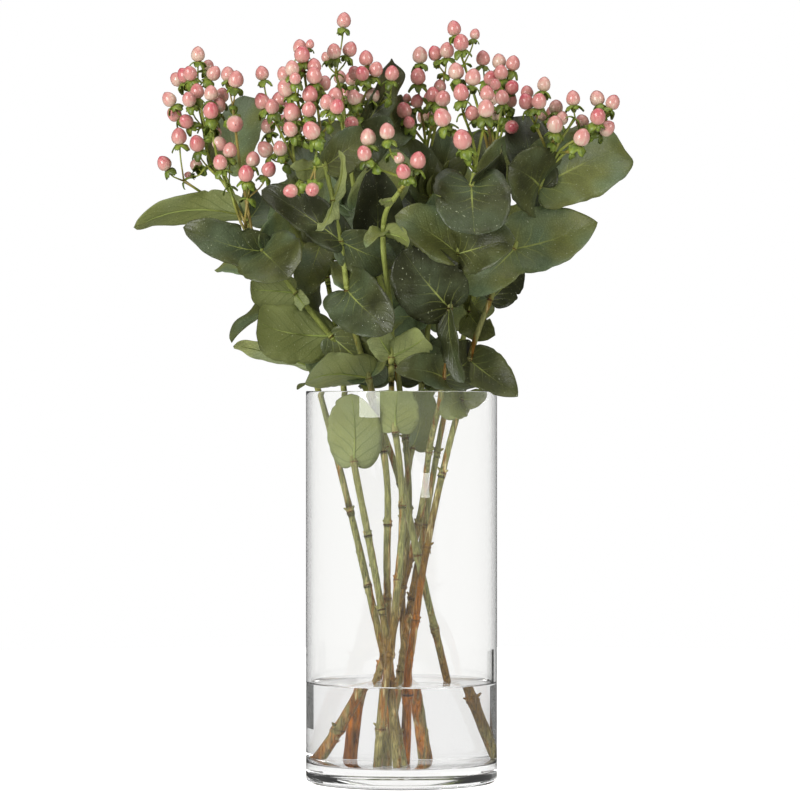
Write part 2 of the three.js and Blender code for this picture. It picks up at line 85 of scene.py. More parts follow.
# Each stem has its route from its foot to its top joint, its leaves, and the leaves and cymes of its spray.
stems = {}
stems["outer_left"] = dict(
    route=[
        [404, 772, -34], [388, 675, -20], [366.5, 580, -6], [350, 510, 2], [320, 396, 6], [302, 345, 16],
        [262, 252, 36], [240, 208, 42],
    ],
    leaves=[
        leafAt(216, [134, 228, 8], 30, -30, under=True, sag=-3, point=0.6, tint=-0.3),
        leafAt(222, [262, 196, 100], 36, 20),
        leafAt(264, [222, 262, 96], 38, 25),
        leafAt(264, [303, 226, 104], 42, 10, point=0.45),
        leafAt(304, [231, 342, 10], 34, 76),
        leafAt(304, [322, 292, 84], 34, 20),
        leafAt(366, [233, 345, -10], 22, -40, under=True),
        leafAt(366, [352, 350, 72], 30, 20),
    ],
    bracts=[
        leafAt([226, 172, 50], [255, 98, 84], 40, -8, point=0.4),
    ],
    cymes=[
        cymeAt([184, 181, 34], [[164, 163, 26], [179, 136, 22, 1.1]], bend=[212, 198, 44]),
        cymeAt([207, 166, 40], [[197, 143, 24, 1.1]], more=[[188, 175, 44, 0.5], [196, 165, 56, 0.9]]),
        cymeAt(
            [203, 127, 40], [[169, 99, 34], [186, 121, 24]], bend=[209, 158, 44],
            more=[[174, 114, 46], [197, 91, 32], [189, 99, 20]],
        ),
        cymeAt(
            [198, 88, 48], [[177, 79, 58], [190, 73, 34], [198, 54, 46], [214, 73, 40]],
            bend=[206, 130, 54], more=[[184, 75, 46], [208, 66, 64, 0.9]],
        ),
        cymeAt([216, 150, 72], [[210, 132, 82], [214, 114, 66]], more=[[222, 136, 76]]),
    ],
)
stems["left"] = dict(
    route=[
        [468, 772, 26], [446, 675, 12], [425, 588, -5], [402, 489, -6], [386, 440, -2], [357, 372, -10],
        [316, 318, -24], [289, 285, -24], [255, 242, -20],
    ],
    leaves=[
        leafAt(251, [184, 226, -44], 35, 18, sag=4, dew=8),
        leafAt(251, [288, 276, -66], 54, -12, point=0.3, fullest=0.6, tint=-0.2, dew=14),
        leafAt(251, [300, 219, 30], 40, 25, point=0.45),
        leafAt(293, [250, 290, -46], 30, 15, under=True, point=0.4),
        leafAt(293, [306, 307, -42], 12, 10, under=True),
        leafAt(336, [256, 321, -62], 46, 8, under=True, point=0.45, fullest=0.45),
        leafAt(336, [385, 382, -4], 34, 10, point=0.6),
    ],
    cymes=[
        cymeAt([229, 187, -26], [[220, 162, -36], [230, 150, -26]]),
        cymeAt([248, 198, -28], [[246, 173, -44, 1.1], [269, 169, -36]], more=[[253, 159, -24]]),
        cymeAt(
            [211, 126, -2], [[211, 110, -14, 1.1], [215, 133, 10]], bend=[221, 170, -14],
            more=[[219, 105, 0], [222, 95, 10], [220, 144, -4], [211, 93, -6]],
        ),
        cymeAt(
            [233, 106, -6], [[228, 74, 4], [235, 124, -24, 1.2]], bend=[240, 165, -12],
            more=[[236, 79, -12, 1.1]],
        ),
    ],
)
stems["inner_left"] = dict(
    route=[
        [398, 772, -56], [391, 678, -41], [387, 640, -38], [378, 588, -34], [366.5, 526, -30],
        [354.5, 464, -26], [345, 400, -10], [341, 362, -4], [327, 278, 8], [313, 215, 16], [302, 184, 18],
    ],
    leaves=[
        leafAt(
            462, [352, 394, -60], 42, 0, under=True, point=0.75, fullest=0.42, lobe=0.2, curl=0, tint=-0.2,
        ),
        leafAt(382, [316, 352, 30], 36, 15, point=0.5),
        leafAt(245, [305, 294, -8], 30, 10, point=0.4),
        leafAt(278, [288, 250, 60], 34, 10),
        leafAt(245, [350, 232, 78], 36, 15),
        leafAt(222, [330, 176, 20], 30, 20),
        leafAt(245, [352, 166, 40], 44, -5, point=0.4),
        leafAt(200, [268, 206, 50], 38, 20),
        leafAt(206, [306, 186, 64], 30, 20),
        leafAt(206, [297, 138, 62], 32, 10, point=0.4),
    ],
    cymes=[
        cymeAt([285, 163, 8], [[280, 148, -2], [265, 149, 6, 1.1]], more=[[268, 126, 16]]),
        cymeAt(
            [276, 122, 6], [[262, 101, 8, 1.1], [262, 73, 10, 0.95]], bend=[292, 158, 12],
            more=[[279, 99, 16], [272, 106, -6]],
        ),
        cymeAt([292, 138, 46], [[284, 122, 54], [297, 126, 56]], more=[[290, 108, 44]]),
    ],
)
stems["mid_left"] = dict(
    route=[
        [389, 772, -38], [388.5, 684, -29], [388, 640, -25], [387, 562, -22], [387, 480, -18],
        [374, 400, -17], [352, 320, -34], [342, 250, -48], [333, 200, -54], [321, 150, -56],
    ],
    leaves=[
        leafAt(378, [303, 384, -86], 40, -48, under=True, point=0.4, tint=-0.2),
        leafAt(378, [338, 336, 26], 42, 10, point=0.45),
        leafAt(290, [392, 331, -80], 48, 5, point=0.5, fullest=0.47, lobe=0.2, tint=-0.4, dew=110),
        leafAt(290, [340, 262, 10], 22, 20),
        leafAt(241, [262, 188, -60], 36, 20, tint=-0.45),
        leafAt(241, [394, 262, -26], 34, 15),
        leafAt(200, [340, 149, -86], 12, -42, under=True, fullest=0.3, lobe=0.02, tint=0),
        leafAt(200, [316, 231, -82], 12, 40, under=True, fullest=0.3, lobe=0.02, tint=0),
        leafAt(166, [293, 172, -84], 20, 15, under=True),
        leafAt(166, [366, 134, -22], 32, 20),
    ],
    cymes=[
        cymeAt([315, 167, -74], [[290, 191, -84, 0.95], [312, 190, -88, 0.95]]),
        cymeAt([320, 139, -69], [[311, 130, -76, 1.2]]),
        cymeAt([330, 124, -60], [[327, 102, -64], [337, 106, -78]], more=[[335, 95, -52]]),
        cymeAt([302, 140, -60], [[292, 112, -56, 1.2]], more=[[290, 129, -66]]),
        cymeAt([309, 124, -56], [[310, 94, -54, 1.1]], more=[[309, 109, -66]]),
        cymeAt(
            [297, 98, -44], [[285, 88, -52, 1.1], [292, 68, -54]], bend=[305, 128, -50],
            more=[[284, 74, -42], [295, 78, -66, 0.8], [301, 66, -42, 0.7]],
        ),
        cymeAt(
            [316, 96, -42], [[314, 75, -54, 1.1]], bend=[320, 128, -50],
            more=[[314, 66, -40], [324, 83, -38]],
        ),
        cymeAt(
            [304, 72, -32], [[302, 54, -44, 1.1]], bend=[309, 102, -38],
            more=[[300, 47, -30], [310, 44, -36, 0.6]],
        ),
    ],
)
stems["mid_tall"] = dict(
    route=[
        [344, 772, 32], [374, 686, 18], [388, 648, 11], [397, 615, 6], [403, 580, 0], [409, 500, 8],
        [401, 400, 18], [385, 300, 18], [360, 215, 18], [346, 144, 20],
    ],
    leaves=[
        leafAt(158, [390, 118, 4], 34, 15),
        leafAt(158, [320, 122, 86], 32, 20),
        leafAt(212, [404, 152, 32], 40, 10),
        leafAt(212, [344, 186, 100], 34, 15),
        leafAt(212, [330, 170, 62], 42, 8, point=0.4),
        leafAt(262, [374, 168, -16], 46, 10, tint=-0.5),
        leafAt(262, [386, 262, 90], 38, 20),
        leafAt(262, [404, 304, 50], 34, 10, point=0.4),
        leafAt(366, [428, 330, 66], 46, 10, point=0.45),
        leafAt(366, [368, 366, 74], 44, 10, point=0.4),
    ],
    bracts=[
        leafAt([366, 124, 10], [398, 61, 52], 26, 30, point=0.4),
        leafAt([366, 150, 30], [409, 102, 74], 34, 10, point=0.4),
    ],
    cymes=[
        cymeAt(
            [336, 74, 4], [[344, 20, 2], [334, 51, -6], [350, 49, 6]], bend=[344, 108, 12],
            more=[[326, 57, 14, 0.7]],
        ),
        cymeAt(
            [369, 86, 12], [[366, 58, 8], [362, 73, -4]], bend=[357, 114, 18],
            more=[[355, 73, 20], [376, 69, 2]],
        ),
        cymeAt([359, 116, 2], [[354, 97, -8], [351, 123, -12]], more=[[373, 95, 14]]),
        cymeAt([390, 98, 12], [[392, 73, 4]], bend=[370, 112, 22]),
        cymeAt([352, 112, 62], [[346, 94, 72], [359, 100, 74]], more=[[352, 78, 60]]),
        cymeAt([343, 97, 28], [], more=[[340, 77, 34, 0.9]]),
    ],
)
stems["mid_front"] = dict(
    route=[
        [379, 772, -46], [386, 684, -49], [391, 650, -46], [397, 588, -42], [402, 530, -38],
        [401, 478, -35], [392, 400, -38], [391, 320, -46], [383, 240, -56], [386, 212, -62],
        [399, 192, -68],
    ],
    leaves=[
        leafAt(432, [398, 392, -60], 38, 0, under=True, point=0.45, lobe=0.2, tint=-0.2),
        leafAt(357, [425, 337, -76], 26, 10, under=True, point=0.3),
        leafAt(357, [377, 334, -72], 22, 10, under=True, point=0.3),
        leafAt(233, [366, 246, -86], 14, 35),
        leafAt(233, [412, 247, -94], 16, 40, under=True),
        leafAt(200, [380, 203, -84], 7, 20, under=True),
    ],
    cymes=[
        cymeAt([373, 167, -76], [[364, 153, -84], [368, 137, -74, 1.1]]),
        cymeAt([391, 153, -78], [[387, 131, -82, 1.05]]),
        cymeAt([412, 182, -80], [[418, 160, -84, 1.1], [403, 171, -92], [399, 158, -78, 0.75]]),
    ],
)
stems["mid_back"] = dict(
    route=[
        [417, 772, 52], [410, 690, 41], [405, 650, 36], [402, 600, 34], [402, 540, 34], [407, 480, 34],
        [421, 391, 38], [431, 290, 52], [432, 240, 60], [428, 162, 70],
    ],
    leaves=[
        leafAt(198, [470, 168, 114], 38, 20),
        leafAt(198, [400, 138, 62], 36, 10),
        leafAt(198, [452, 128, 96], 38, 10, point=0.4),
        leafAt(222, [396, 190, 108], 38, 15),
        leafAt(222, [460, 172, 22], 30, 15),
        leafAt(266, [440, 232, 112], 38, 15),
        leafAt(448, [423, 388, 12], 26, 35, point=0.4),
        leafAt(266, [404, 214, 22], 36, 10),
        leafAt(316, [380, 318, 90], 36, 20),
        leafAt(316, [476, 300, 88], 36, 20),
        leafAt(382, [462, 346, 92], 42, 10, point=0.45),
        leafAt(382, [398, 348, 96], 42, 10, point=0.45),
    ],
    cymes=[
        cymeAt([419, 98, 56], [[420, 55, 52, 1.1], [418, 76, 44, 1.1]], bend=[424, 130, 64]),
        cymeAt(
            [413, 128, 54], [[404, 110, 46, 1.1]],
            more=[[409, 122, 38, 0.85], [407, 98, 62, 0.6], [417, 101, 50, 0.9]],
        ),
        cymeAt([436, 114, 52], [[443, 98, 30, 1.1]], more=[[440, 86, 58, 0.9], [433, 94, 42]]),
        cymeAt([445, 74, 58], [[435, 53, 56], [447, 50, 48, 1.05]], bend=[438, 116, 66]),
        cymeAt([430, 134, 92], [[424, 116, 102], [437, 112, 100]], more=[[430, 98, 88]]),
    ],
)
stems["mid_right"] = dict(
    route=[
        [370, 772, 46], [377, 684, 41], [394, 619, 30], [410, 560, 16], [422, 506, 4], [430, 445, -14],
        [441, 394, -30], [448, 320, -42], [461, 235, -50], [474, 173, -56],
    ],
    leaves=[
        leafAt(186, [475, 241, -86], 60, -4, point=0.5, fullest=0.5, lobe=0.34, curl=60, tint=-0.4, dew=16),
        leafAt(186, [500, 150, -4], 34, 50),
        leafAt(254, [396, 214, -66], 44, 24, point=0.6, fullest=0.5, tint=0.0, dew=6),
        leafAt(254, [514, 238, -74], 42, -14, point=0.5, fullest=0.5, tint=-0.3),
        leafAt(308, [402, 250, -62], 54, 0, point=0.5, fullest=0.5, tint=-0.5, dew=8),
        leafAt(308, [464, 383, -64], 23, 44, point=0.4, tint=-0.45),
        leafAt(378, [398, 369, -80], 30, 25, point=0.5, tint=-0.25),
        leafAt(378, [474, 352, 10], 38, 10, point=0.4),
    ],
    cymes=[
        cymeAt([469, 155, -70], [[462, 139, -80, 1.3]]),
        cymeAt([451, 130, -68], [[442, 117, -76, 1.2]], bend=[463, 156, -62]),
        cymeAt([483, 130, -58], [[486, 108, -68, 1.15], [487, 93, -54]], more=[[472, 113, -54]]),
        cymeAt(
            [463, 113, -48], [[461, 92, -58, 1.1], [473, 77, -48, 1.1]], bend=[474, 146, -52],
            more=[[456, 71, -40, 1.1]],
        ),
    ],
)
stems["inner_right"] = dict(
    route=[
        [386, 772, -16], [399, 684, -3], [405, 640, 5], [413, 590, 20], [424, 530, 24], [436, 460, 26],
        [449, 395, 28], [474, 295, 32], [484, 245, 38], [493, 173, 45],
    ],
    leaves=[
        leafAt(182, [520, 132, 20], 38, 15),
        leafAt(182, [470, 128, 92], 36, 20),
        leafAt(232, [546, 216, 78], 36, 15),
        leafAt(232, [468, 224, 84], 34, 20),
        leafAt(312, [493, 335, 2], 28, 25, point=0.4),
        leafAt(312, [500, 262, 84], 34, 20),
        leafAt(380, [470, 346, 70], 34, 10, point=0.4),
        leafAt(380, [432, 376, 60], 34, 10, point=0.4),
    ],
    cymes=[
        cymeAt(
            [464, 64, 26], [[454, 28, 28], [461, 42, 12, 1.1], [475, 34, 30, 0.72]], bend=[478, 108, 34],
        ),
        cymeAt([485, 84, 40], [[483, 58, 38]], bend=[488, 120, 44], more=[[491, 77, 24]]),
        cymeAt(
            [505, 94, 30], [[499, 61, 36], [501, 72, 20], [513, 63, 26]], bend=[498, 130, 38],
            more=[[512, 87, 16], [495, 84, 8, 0.8]],
        ),
        cymeAt([507, 118, 22], [[502, 97, 8]], more=[[510, 100, 22], [512, 127, 6]]),
        cymeAt([492, 132, 72], [[486, 112, 82], [498, 114, 80]], more=[[491, 98, 66]]),
    ],
)
stems["right"] = dict(
    route=[
        [404, 772, -18], [408, 671, -24], [412, 643, -23], [423, 569, -21], [433, 515, -18],
        [449, 445, -12], [463, 392, -8], [472, 350, -6], [497, 283, -3], [516, 245, 0], [545, 173, 4],
    ],
    leaves=[
        leafAt(187, [628, 146, 38], 62, -18, sag=2, point=0.45, fullest=0.45, lobe=0.2, tint=0.2, dew=14),
        leafAt(187, [510, 166, -34], 54, 12, point=0.4, fullest=0.42, lobe=0.24),
        leafAt(187, [522, 116, 34], 40, 10, point=0.4),
        leafAt(
            249, [598, 221, 6], 54, -26, sag=3, point=0.85, fullest=0.36, lobe=0.2, curl=-20, tint=0.2,
            dew=12,
        ),
        leafAt(249, [466, 292, -32], 38, 15, point=0.45),
        leafAt(300, [517, 262, 32], 28, 15),
        leafAt(360, [518, 396, -24], 39, -16, point=0.8, fullest=0.36, curl=-15, dew=8),
        leafAt(400, [440, 414, -30], 26, -10, point=0.45),
        leafAt(400, [486, 392, -14], 16, 15),
    ],
    cymes=[
        cymeAt(
            [535, 124, -4], [[526, 101, -12, 1.05], [539, 101, -16, 1.05], [544, 84, 0, 0.95]],
            bend=[547, 153, -2], more=[[527, 92, 12, 0.9]],
        ),
        cymeAt(
            [553, 142, -10], [[555, 124, -22, 1.15]], bend=[548, 156, -2],
            more=[[556, 107, 6], [562, 118, -6, 0.9]],
        ),
        cymeAt([573, 152, -30], [[582, 137, -36, 1.15]]),
        cymeAt([575, 118, -8], [[573, 98, -6]], bend=[556, 148, -8]),
        cymeAt(
            [592, 132, -4], [[607, 128, -8, 1.1]], bend=[564, 147, -10],
            more=[[582, 121, 8, 0.95], [598, 116, -20, 1.1]],
        ),
        cymeAt([604, 115, -4], [[597, 98, 6, 1.05], [613, 102, 0]], bend=[572, 146, -8]),
        cymeAt([546, 132, 34], [[540, 116, 42], [553, 112, 40]]),
    ],
)


# A curve through points, as a centripetal spline, and its direction, at a station from 0 to 1.
def curvePoint(points, station):
    last = len(points) - 1
    index = min(int(station * last), last - 1)
    weight = station * last - index
    near, far = points[index], points[index + 1]
    before = points[index - 1] if index > 0 else near * 2 - far
    after = points[index + 2] if index + 2 <= last else far * 2 - near
    gapBefore, gap, gapAfter = ((b - a).length ** 0.5 for a, b in ((before, near), (near, far), (far, after)))
    leaving = (near - before) / gapBefore - (far - before) / (gapBefore + gap) + (far - near) / gap
    arriving = (far - near) / gap - (after - near) / (gap + gapAfter) + (after - far) / gapAfter
    leaving, arriving = leaving * gap, arriving * gap
    square2 = (far - near) * 3 - leaving * 2 - arriving
    cube = (near - far) * 2 + leaving + arriving
    return near + leaving * weight + square2 * weight**2 + cube * weight**3


def curveDirection(points, station):
    step = 1e-4
    ahead, behind = curvePoint(points, min(station + step, 1)), curvePoint(points, max(station - step, 0))
    return (ahead - behind).normalized()


def curveLength(points, steps=200):
    spots = [curvePoint(points, i / steps) for i in range(steps + 1)]
    return sum((b - a).length for a, b in zip(spots, spots[1:]))


# The station at which a curve that climbs comes to a height, found by halving.
def stationAtHeight(points, height, halvings=30):
    low, high = 0.0, 1.0
    for _ in range(halvings):
        middle = (low + high) / 2
        if curvePoint(points, middle).z < height:
            low = middle
        else:
            high = middle
    return low


def stationAtRow(points, row, rounds=4):
    station = 0.5
    for _ in range(rounds):
        depth = curvePoint(points, station).y
        station = stationAtHeight(points, place([sheet["axisColumn"], row, depth]).z)
    return station


# Two directions square to a third: one across it, and one as near to the front as it can be.
def crossAxes(along, endOn=0.98):
    aside = Vector((1, 0, 0)) if abs(along.y) > endOn else Vector((0, -1, 0))
    across = along.cross(aside).normalized()
    return across, across.cross(along).normalized()


# A chance direction square to a stem.
def anyAside(along):
    across, front = crossAxes(along)
    turn = draw.uniform(0, math.tau)
    return across * math.cos(turn) + front * math.sin(turn)


# Sets a shape down at a spot, with its own upright along a direction.
def seatAt(spot, upright):
    return Matrix.Translation(spot) @ upright.to_track_quat("Z", "Y").to_matrix().to_4x4()


def mixed(a, b, share):
    return a + (b - a) * share


# A line of points spun about the upright axis, and the closed solid that a whole turn makes of an outline.
def spun(points, angle, steps, merge):
    bm = bmesh.new()
    spots = [bm.verts.new(point) for point in points]
    for a, b in zip(spots, spots[1:]):
        bm.edges.new((a, b))
    around = dict(cent=(0, 0, 0), axis=(0, 0, 1), dvec=(0, 0, 0), angle=angle, steps=steps, use_merge=merge)
    bmesh.ops.spin(bm, geom=bm.verts[:] + bm.edges[:], **around)
    return bm


def turnedSolid(outline, steps):
    bm = spun([(radius, 0, height) for radius, height in outline], math.tau, steps, True)
    bmesh.ops.remove_doubles(bm, verts=bm.verts[:], dist=0.001)
    bmesh.ops.recalc_face_normals(bm, faces=bm.faces[:])
    return bm


# A round stalk along a line of points, with its radius at each. It is drawn out ring by ring from its foot.
def addStalk(bm, line, radii, sides, material=0):
    frames = []
    for i, point in enumerate(line):
        along = (line[min(i + 1, len(line) - 1)] - line[max(i - 1, 0)]).normalized()
        across, front = crossAxes(along)
        size = radii[i]
        turn = Matrix((across * size, front * -size, along * size)).transposed().to_4x4()
        frames.append(Matrix.Translation(point) @ turn)
    ring = bmesh.ops.create_circle(bm, cap_ends=True, radius=1, segments=sides, matrix=frames[0])["verts"]
    cap = ring[0].link_faces[0]
    cap.material_index = material
    for before, after in zip(frames, frames[1:]):
        grown = bmesh.ops.extrude_face_region(bm, geom=[cap])["geom"]
        cap = next(item for item in grown if isinstance(item, bmesh.types.BMFace))
        bmesh.ops.transform(bm, matrix=after @ before.inverted(), verts=cap.verts[:])
        ring += cap.verts[:]
    return ring


# Adds a copy of a small shape and returns its vertices, still at the shape's own place.
def addShape(bm, shape):
    before = len(bm.verts)
    bm.from_mesh(shape)
    bm.verts.ensure_lookup_table()
    return bm.verts[before:]


def meshFrom(bm, name, materials=()):
    mesh = bpy.data.meshes.new(name)
    bm.to_mesh(mesh)
    bm.free()
    for material in materials:
        mesh.materials.append(material)
    return mesh


def addItem(name, data):
    item = bpy.data.objects.new(name, data)
    bpy.context.scene.collection.objects.link(item)
    return item


def finishPiece(bm, name, materials, node, closed=True):
    if closed:
        bmesh.ops.recalc_face_normals(bm, faces=bm.faces[:])
    bmesh.ops.scale(bm, vec=(mm, mm, mm), verts=bm.verts[:])
    for face in bm.faces:
        face.smooth = True
    piece = addItem(name, meshFrom(bm, name, materials))
    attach(piece, "root")
    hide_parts(node)
    return piece


# A colour given as sRGB hex, in the linear values that shaders take.
def linearColour(hexText):
    channels = [int(hexText[i : i + 2], 16) / 255 for i in (1, 3, 5)]
    return [c / 12.92 if c <= 0.04045 else ((c + 0.055) / 1.055) ** 2.4 for c in channels] + [1]


# Adds a node with its settings, links or sets its inputs, and returns its outputs.
def addNode(tree, kind, inputs=None, **settings):
    node = tree.nodes.new("ShaderNode" + kind)
    for name, value in settings.items():
        setattr(node, name, value)
    for key, value in (inputs or {}).items():
        if isinstance(value, bpy.types.NodeSocket):
            tree.links.new(value, node.inputs[key])
        elif isinstance(value, str):
            node.inputs[key].default_value = linearColour(value)
        else:
            node.inputs[key].default_value = value
    return node.outputs


def newMaterial(name):
    material = bpy.data.materials.new(name)
    material.use_nodes = True
    material.node_tree.nodes.clear()
    return material, material.node_tree


colourA, colourB, colourOut = 6, 7, 2  # the colour sockets of a Mix node
perMetre = 1 / mm
plantIor = 1.45  # of cell walls, wax and bark
multiplyAdd = dict(operation="MULTIPLY_ADD")
smooth = dict(interpolation_type="SMOOTHSTEP")
linear = dict(interpolation_type="LINEAR")


# Lays colours over a ground. Each has the pattern it follows, the values there at which it starts and is
# full, how much of it shows when it is, and the colour.
def layColours(tree, ground, layers, fade):
    for value, start, full, most, colour in layers:
        share = addNode(
            tree, "MapRange", {"Value": value, "From Min": start, "From Max": full, "To Max": most}, **fade
        )[0]
        ground = addNode(
            tree, "Mix", {0: share, colourA: ground, colourB: colour}, data_type="RGBA"
        )[colourOut]
    return ground


# Ends a material that light doesn't pass through, with its relief: how strong, and how high in mm.
def endOpaque(tree, colour, relief, strength, height, rest):
    bump = addNode(tree, "Bump", {"Height": relief, "Strength": strength, "Distance": height * mm})[0]
    inputs = {"Base Color": colour, "Normal": bump, "IOR": plantIor, **rest}
    shader = addNode(tree, "BsdfPrincipled", inputs)[0]
    addNode(tree, "OutputMaterial", {"Surface": shader})


# Waxy leaf blade. The upper face is dark green with a satin bloom, cooler in places, the underside paler and
# duller; the cooler bluish patches are partly the bloom's own tone and partly a painted sheen. A fine
# yellow-green midrib and a few side veins leave the base and soon fade, sunk above and raised below, where
# the side veins are darker. Between them lies a faint net of small veins, and pale specks are scattered over
# the whole.
leafFinish = {
    "leaf_upper_waxy": dict(
        dark="#2f3219", light="#868c4a", bloomAndSheen="#72835e", net="#2b2f18", speck="#b0b694", rib="#aab35c",
        vein="#aab35c", midrib=0.8, sideVeins=0.4, veinReach=0.8, netShare=0.25, roughness=0.4, bump=-0.8,
    ),
    "leaf_underside_matt": dict(
        dark="#767d43", light="#a9af6c", bloomAndSheen="#98a272", net="#727c46", speck="#b9be94", rib="#bcc084",
        vein="#56622f", midrib=0.7, sideVeins=0.85, veinReach=1.3, netShare=0.5, roughness=0.6, bump=0.7,
    ),
}
leafPattern = dict(
    mottle=12, bloomSheenPatches=38, specks=1.5, netting=2.2,  # in mm
    sideVeinPairs=6, veinLean=0.42, veinWander=0.1, veinWidth=0.085, veinSwell=0.2, veinSetBack=0.55,
    ribAtBase=0.05, ribAtTip=0.016, ribThinAt=0.8, mottled=0.5, bloomed=0.9, roughened=0.2, relief=0.6,
)


def leafMaterial(name):
    look, form = leafFinish[name], leafPattern
    material, tree = newMaterial(name)
    blade = addNode(tree, "Attribute", attribute_name="blade")["Vector"]
    share, edge, tint = addNode(tree, "SeparateXYZ", {0: blade})
    here = addNode(tree, "TexCoord")["Object"]
    mottle, bloomSheenPatches, specks = (
        addNode(tree, "TexNoise", {"Vector": here, "Scale": perMetre / size, "Detail": detail})["Fac"]
        for size, detail in ((form["mottle"], 4.0), (form["bloomSheenPatches"], 1.0), (form["specks"], 1.0))
    )
    netting = addNode(
        tree, "TexVoronoi", {"Vector": here, "Scale": perMetre / form["netting"]},
        feature="DISTANCE_TO_EDGE",
    )["Distance"]
    out = addNode(tree, "Math", {0: edge}, operation="ABSOLUTE")[0]

    # Where a spot is between side veins, which lean towards the tip as they run out, how far it is from the
    # base, and how dark it is, from its leaf's own tone, which also carries painted shade or light, and its
    # blotches.
    sums = []
    for total, parts in (
        (share, ((out, -form["veinLean"]), (mottle, form["veinWander"]))),
        (share, ((out, form["veinSetBack"]),)),
        (tint, ((mottle, form["mottled"]), (bloomSheenPatches, form["bloomed"]))),
        (look["roughness"] - form["roughened"] / 2, ((mottle, form["roughened"]),)),
    ):
        for value, weight in parts:
            total = addNode(tree, "Math", {0: value, 1: weight, 2: total}, **multiplyAdd)[0]
        sums.append(total)
    between, fromBase, toneShadeAndBlotches, rough = sums

    counted = addNode(tree, "Math", {0: between, 1: form["sideVeinPairs"]}, operation="MULTIPLY")[0]
    toVein = addNode(tree, "Math", {0: counted, 1: 0.5}, operation="PINGPONG")[0]
    ribHalf = addNode(
        tree, "MapRange",
        {
            "Value": share, "From Max": form["ribThinAt"],
            "To Min": form["ribAtBase"], "To Max": form["ribAtTip"],
        },
        **linear,
    )[0]
    fromRib = addNode(tree, "Math", {0: out, 1: ribHalf}, operation="DIVIDE")[0]

    # The marks of the side veins, sharp and soft, and of the midrib, and how both fade away from the base.
    sideVein, softVein, midrib, ribFade, veinFade = (
        addNode(
            tree, "MapRange",
            {"Value": value, "From Min": low, "From Max": high, "To Min": near, "To Max": far}, **smooth,
        )[0]
        for value, low, high, near, far in (
            (toVein, 0.0, form["veinWidth"], 1.0, 0.0), (toVein, 0.0, form["veinSwell"], 0.5, 0.0),
            (fromRib, 0.35, 1.0, 1.0, 0.0), (share, 0.1, 0.65, look["midrib"], look["midrib"] * 0.1),
            (fromBase, 0.1, look["veinReach"], look["sideVeins"], 0.0),
        )
    )
    paleRib, paleVein = (
        addNode(tree, "Math", {0: mark, 1: fade}, operation="MULTIPLY")[0]
        for mark, fade in ((midrib, ribFade), (sideVein, veinFade))
    )
    # The cool patches paint a bluish sheen as well as the bloom's own tone, and the dark layer also carries
    # painted shade from listed leaf tones.
    layers = (
        (bloomSheenPatches, 0.4, 0.6, 1.0, look["bloomAndSheen"]), (toneShadeAndBlotches, 1.15, 0.15, 1.0, look["dark"]),
        (netting, 0.14, 0.0, look["netShare"], look["net"]), (specks, 0.7, 0.84, 1.0, look["speck"]),
        (paleVein, 0.0, 1.0, 1.0, look["vein"]), (paleRib, 0.0, 1.0, 1.0, look["rib"]),
    )
    colour = layColours(tree, look["light"], layers, linear)
    veins = addNode(tree, "Math", {0: midrib, 1: softVein}, operation="MAXIMUM")[0]
    raised = addNode(tree, "Math", {0: veins, 1: look["bump"], 2: netting}, **multiplyAdd)[0]
    endOpaque(tree, colour, raised, 0.5, form["relief"], {"Roughness": rough})
    return material


# Thin bark on a woody stem: long strips of orange-brown and grey-olive where it stood in water, then brown,
# then olive with brown strips, and yellow-green at the top. Pale flecks lie on it, and fine lengthwise
# streaks that grow fainter upwards. The joints are dark. It is dull, with hardly any gloss.
barkFinish = dict(
    orange="#aa630d", grey="#8f8652", brown="#74561f", olive="#868652", top="#929b50", peeled="#855a1e",
    pale="#c9bd8a", joint="#66492a", strip=5, streak=1.0, patch=24, drawnOut=0.08, relief=0.8,
    roughness=0.45, gloss=0.2,
)


def barkMaterial():
    look = barkFinish
    material, tree = newMaterial("hypericum_bark")
    here = addNode(tree, "TexCoord")["Object"]
    height = addNode(tree, "SeparateXYZ", {0: here})["Z"]
    age, knot = (addNode(tree, "Attribute", attribute_name=mark)["Fac"] for mark in ("age", "knot"))
    drawn = addNode(tree, "Mapping", {"Vector": here, "Scale": (1.0, 1.0, look["drawnOut"])})[0]
    streaks, strips, flecks, patches = (
        addNode(tree, "TexNoise", {"Vector": spot, "Scale": perMetre / size, "Detail": detail})["Fac"]
        for spot, size, detail in (
            (drawn, look["streak"], 4.0), (drawn, look["strip"], 2.0), (drawn, look["strip"] / 2, 3.0),
            (here, look["patch"], 2.0),
        )
    )
    sums = []
    for total, parts in (
        (height, ((patches, 90 * mm), (age, -70 * mm))), (strips, ((age, 0.22),)), (knot, ((strips, 0.8),)),
    ):
        for value, weight in parts:
            total = addNode(tree, "Math", {0: value, 1: weight, 2: total}, **multiplyAdd)[0]
        sums.append(total)
    shifted, stripped, dark = sums
    layers = (
        (stripped, 0.46, 0.66, 1.0, look["orange"]), (shifted, 90 * mm, 150 * mm, 1.0, look["brown"]),
        (shifted, 150 * mm, 230 * mm, 1.0, look["olive"]), (strips, 0.53, 0.68, 1.0, look["peeled"]),
        (flecks, 0.56, 0.76, 1.0, look["pale"]), (shifted, 320 * mm, 430 * mm, 1.0, look["top"]),
        (dark, 0.95, 1.4, 1.0, look["joint"]),
    )
    colour = layColours(tree, look["grey"], layers, smooth)
    lined, smoother = (
        addNode(
            tree, "MapRange",
            {"Value": value, "From Min": low, "From Max": high, "To Min": first, "To Max": last}, **linear,
        )[0]
        for value, low, high, first, last in (
            (streaks, 0.32, 0.68, 0.4, 1.5), (shifted, 220 * mm, 380 * mm, 1.0, 0.3),
        )
    )
    striped = addNode(
        tree, "Mix", {0: smoother, colourA: colour, colourB: lined}, data_type="RGBA", blend_type="MULTIPLY"
    )[colourOut]
    shine = {"Roughness": look["roughness"], "Specular IOR Level": look["gloss"]}
    endOpaque(tree, striped, streaks, 0.8, look["relief"], shine)
    return material


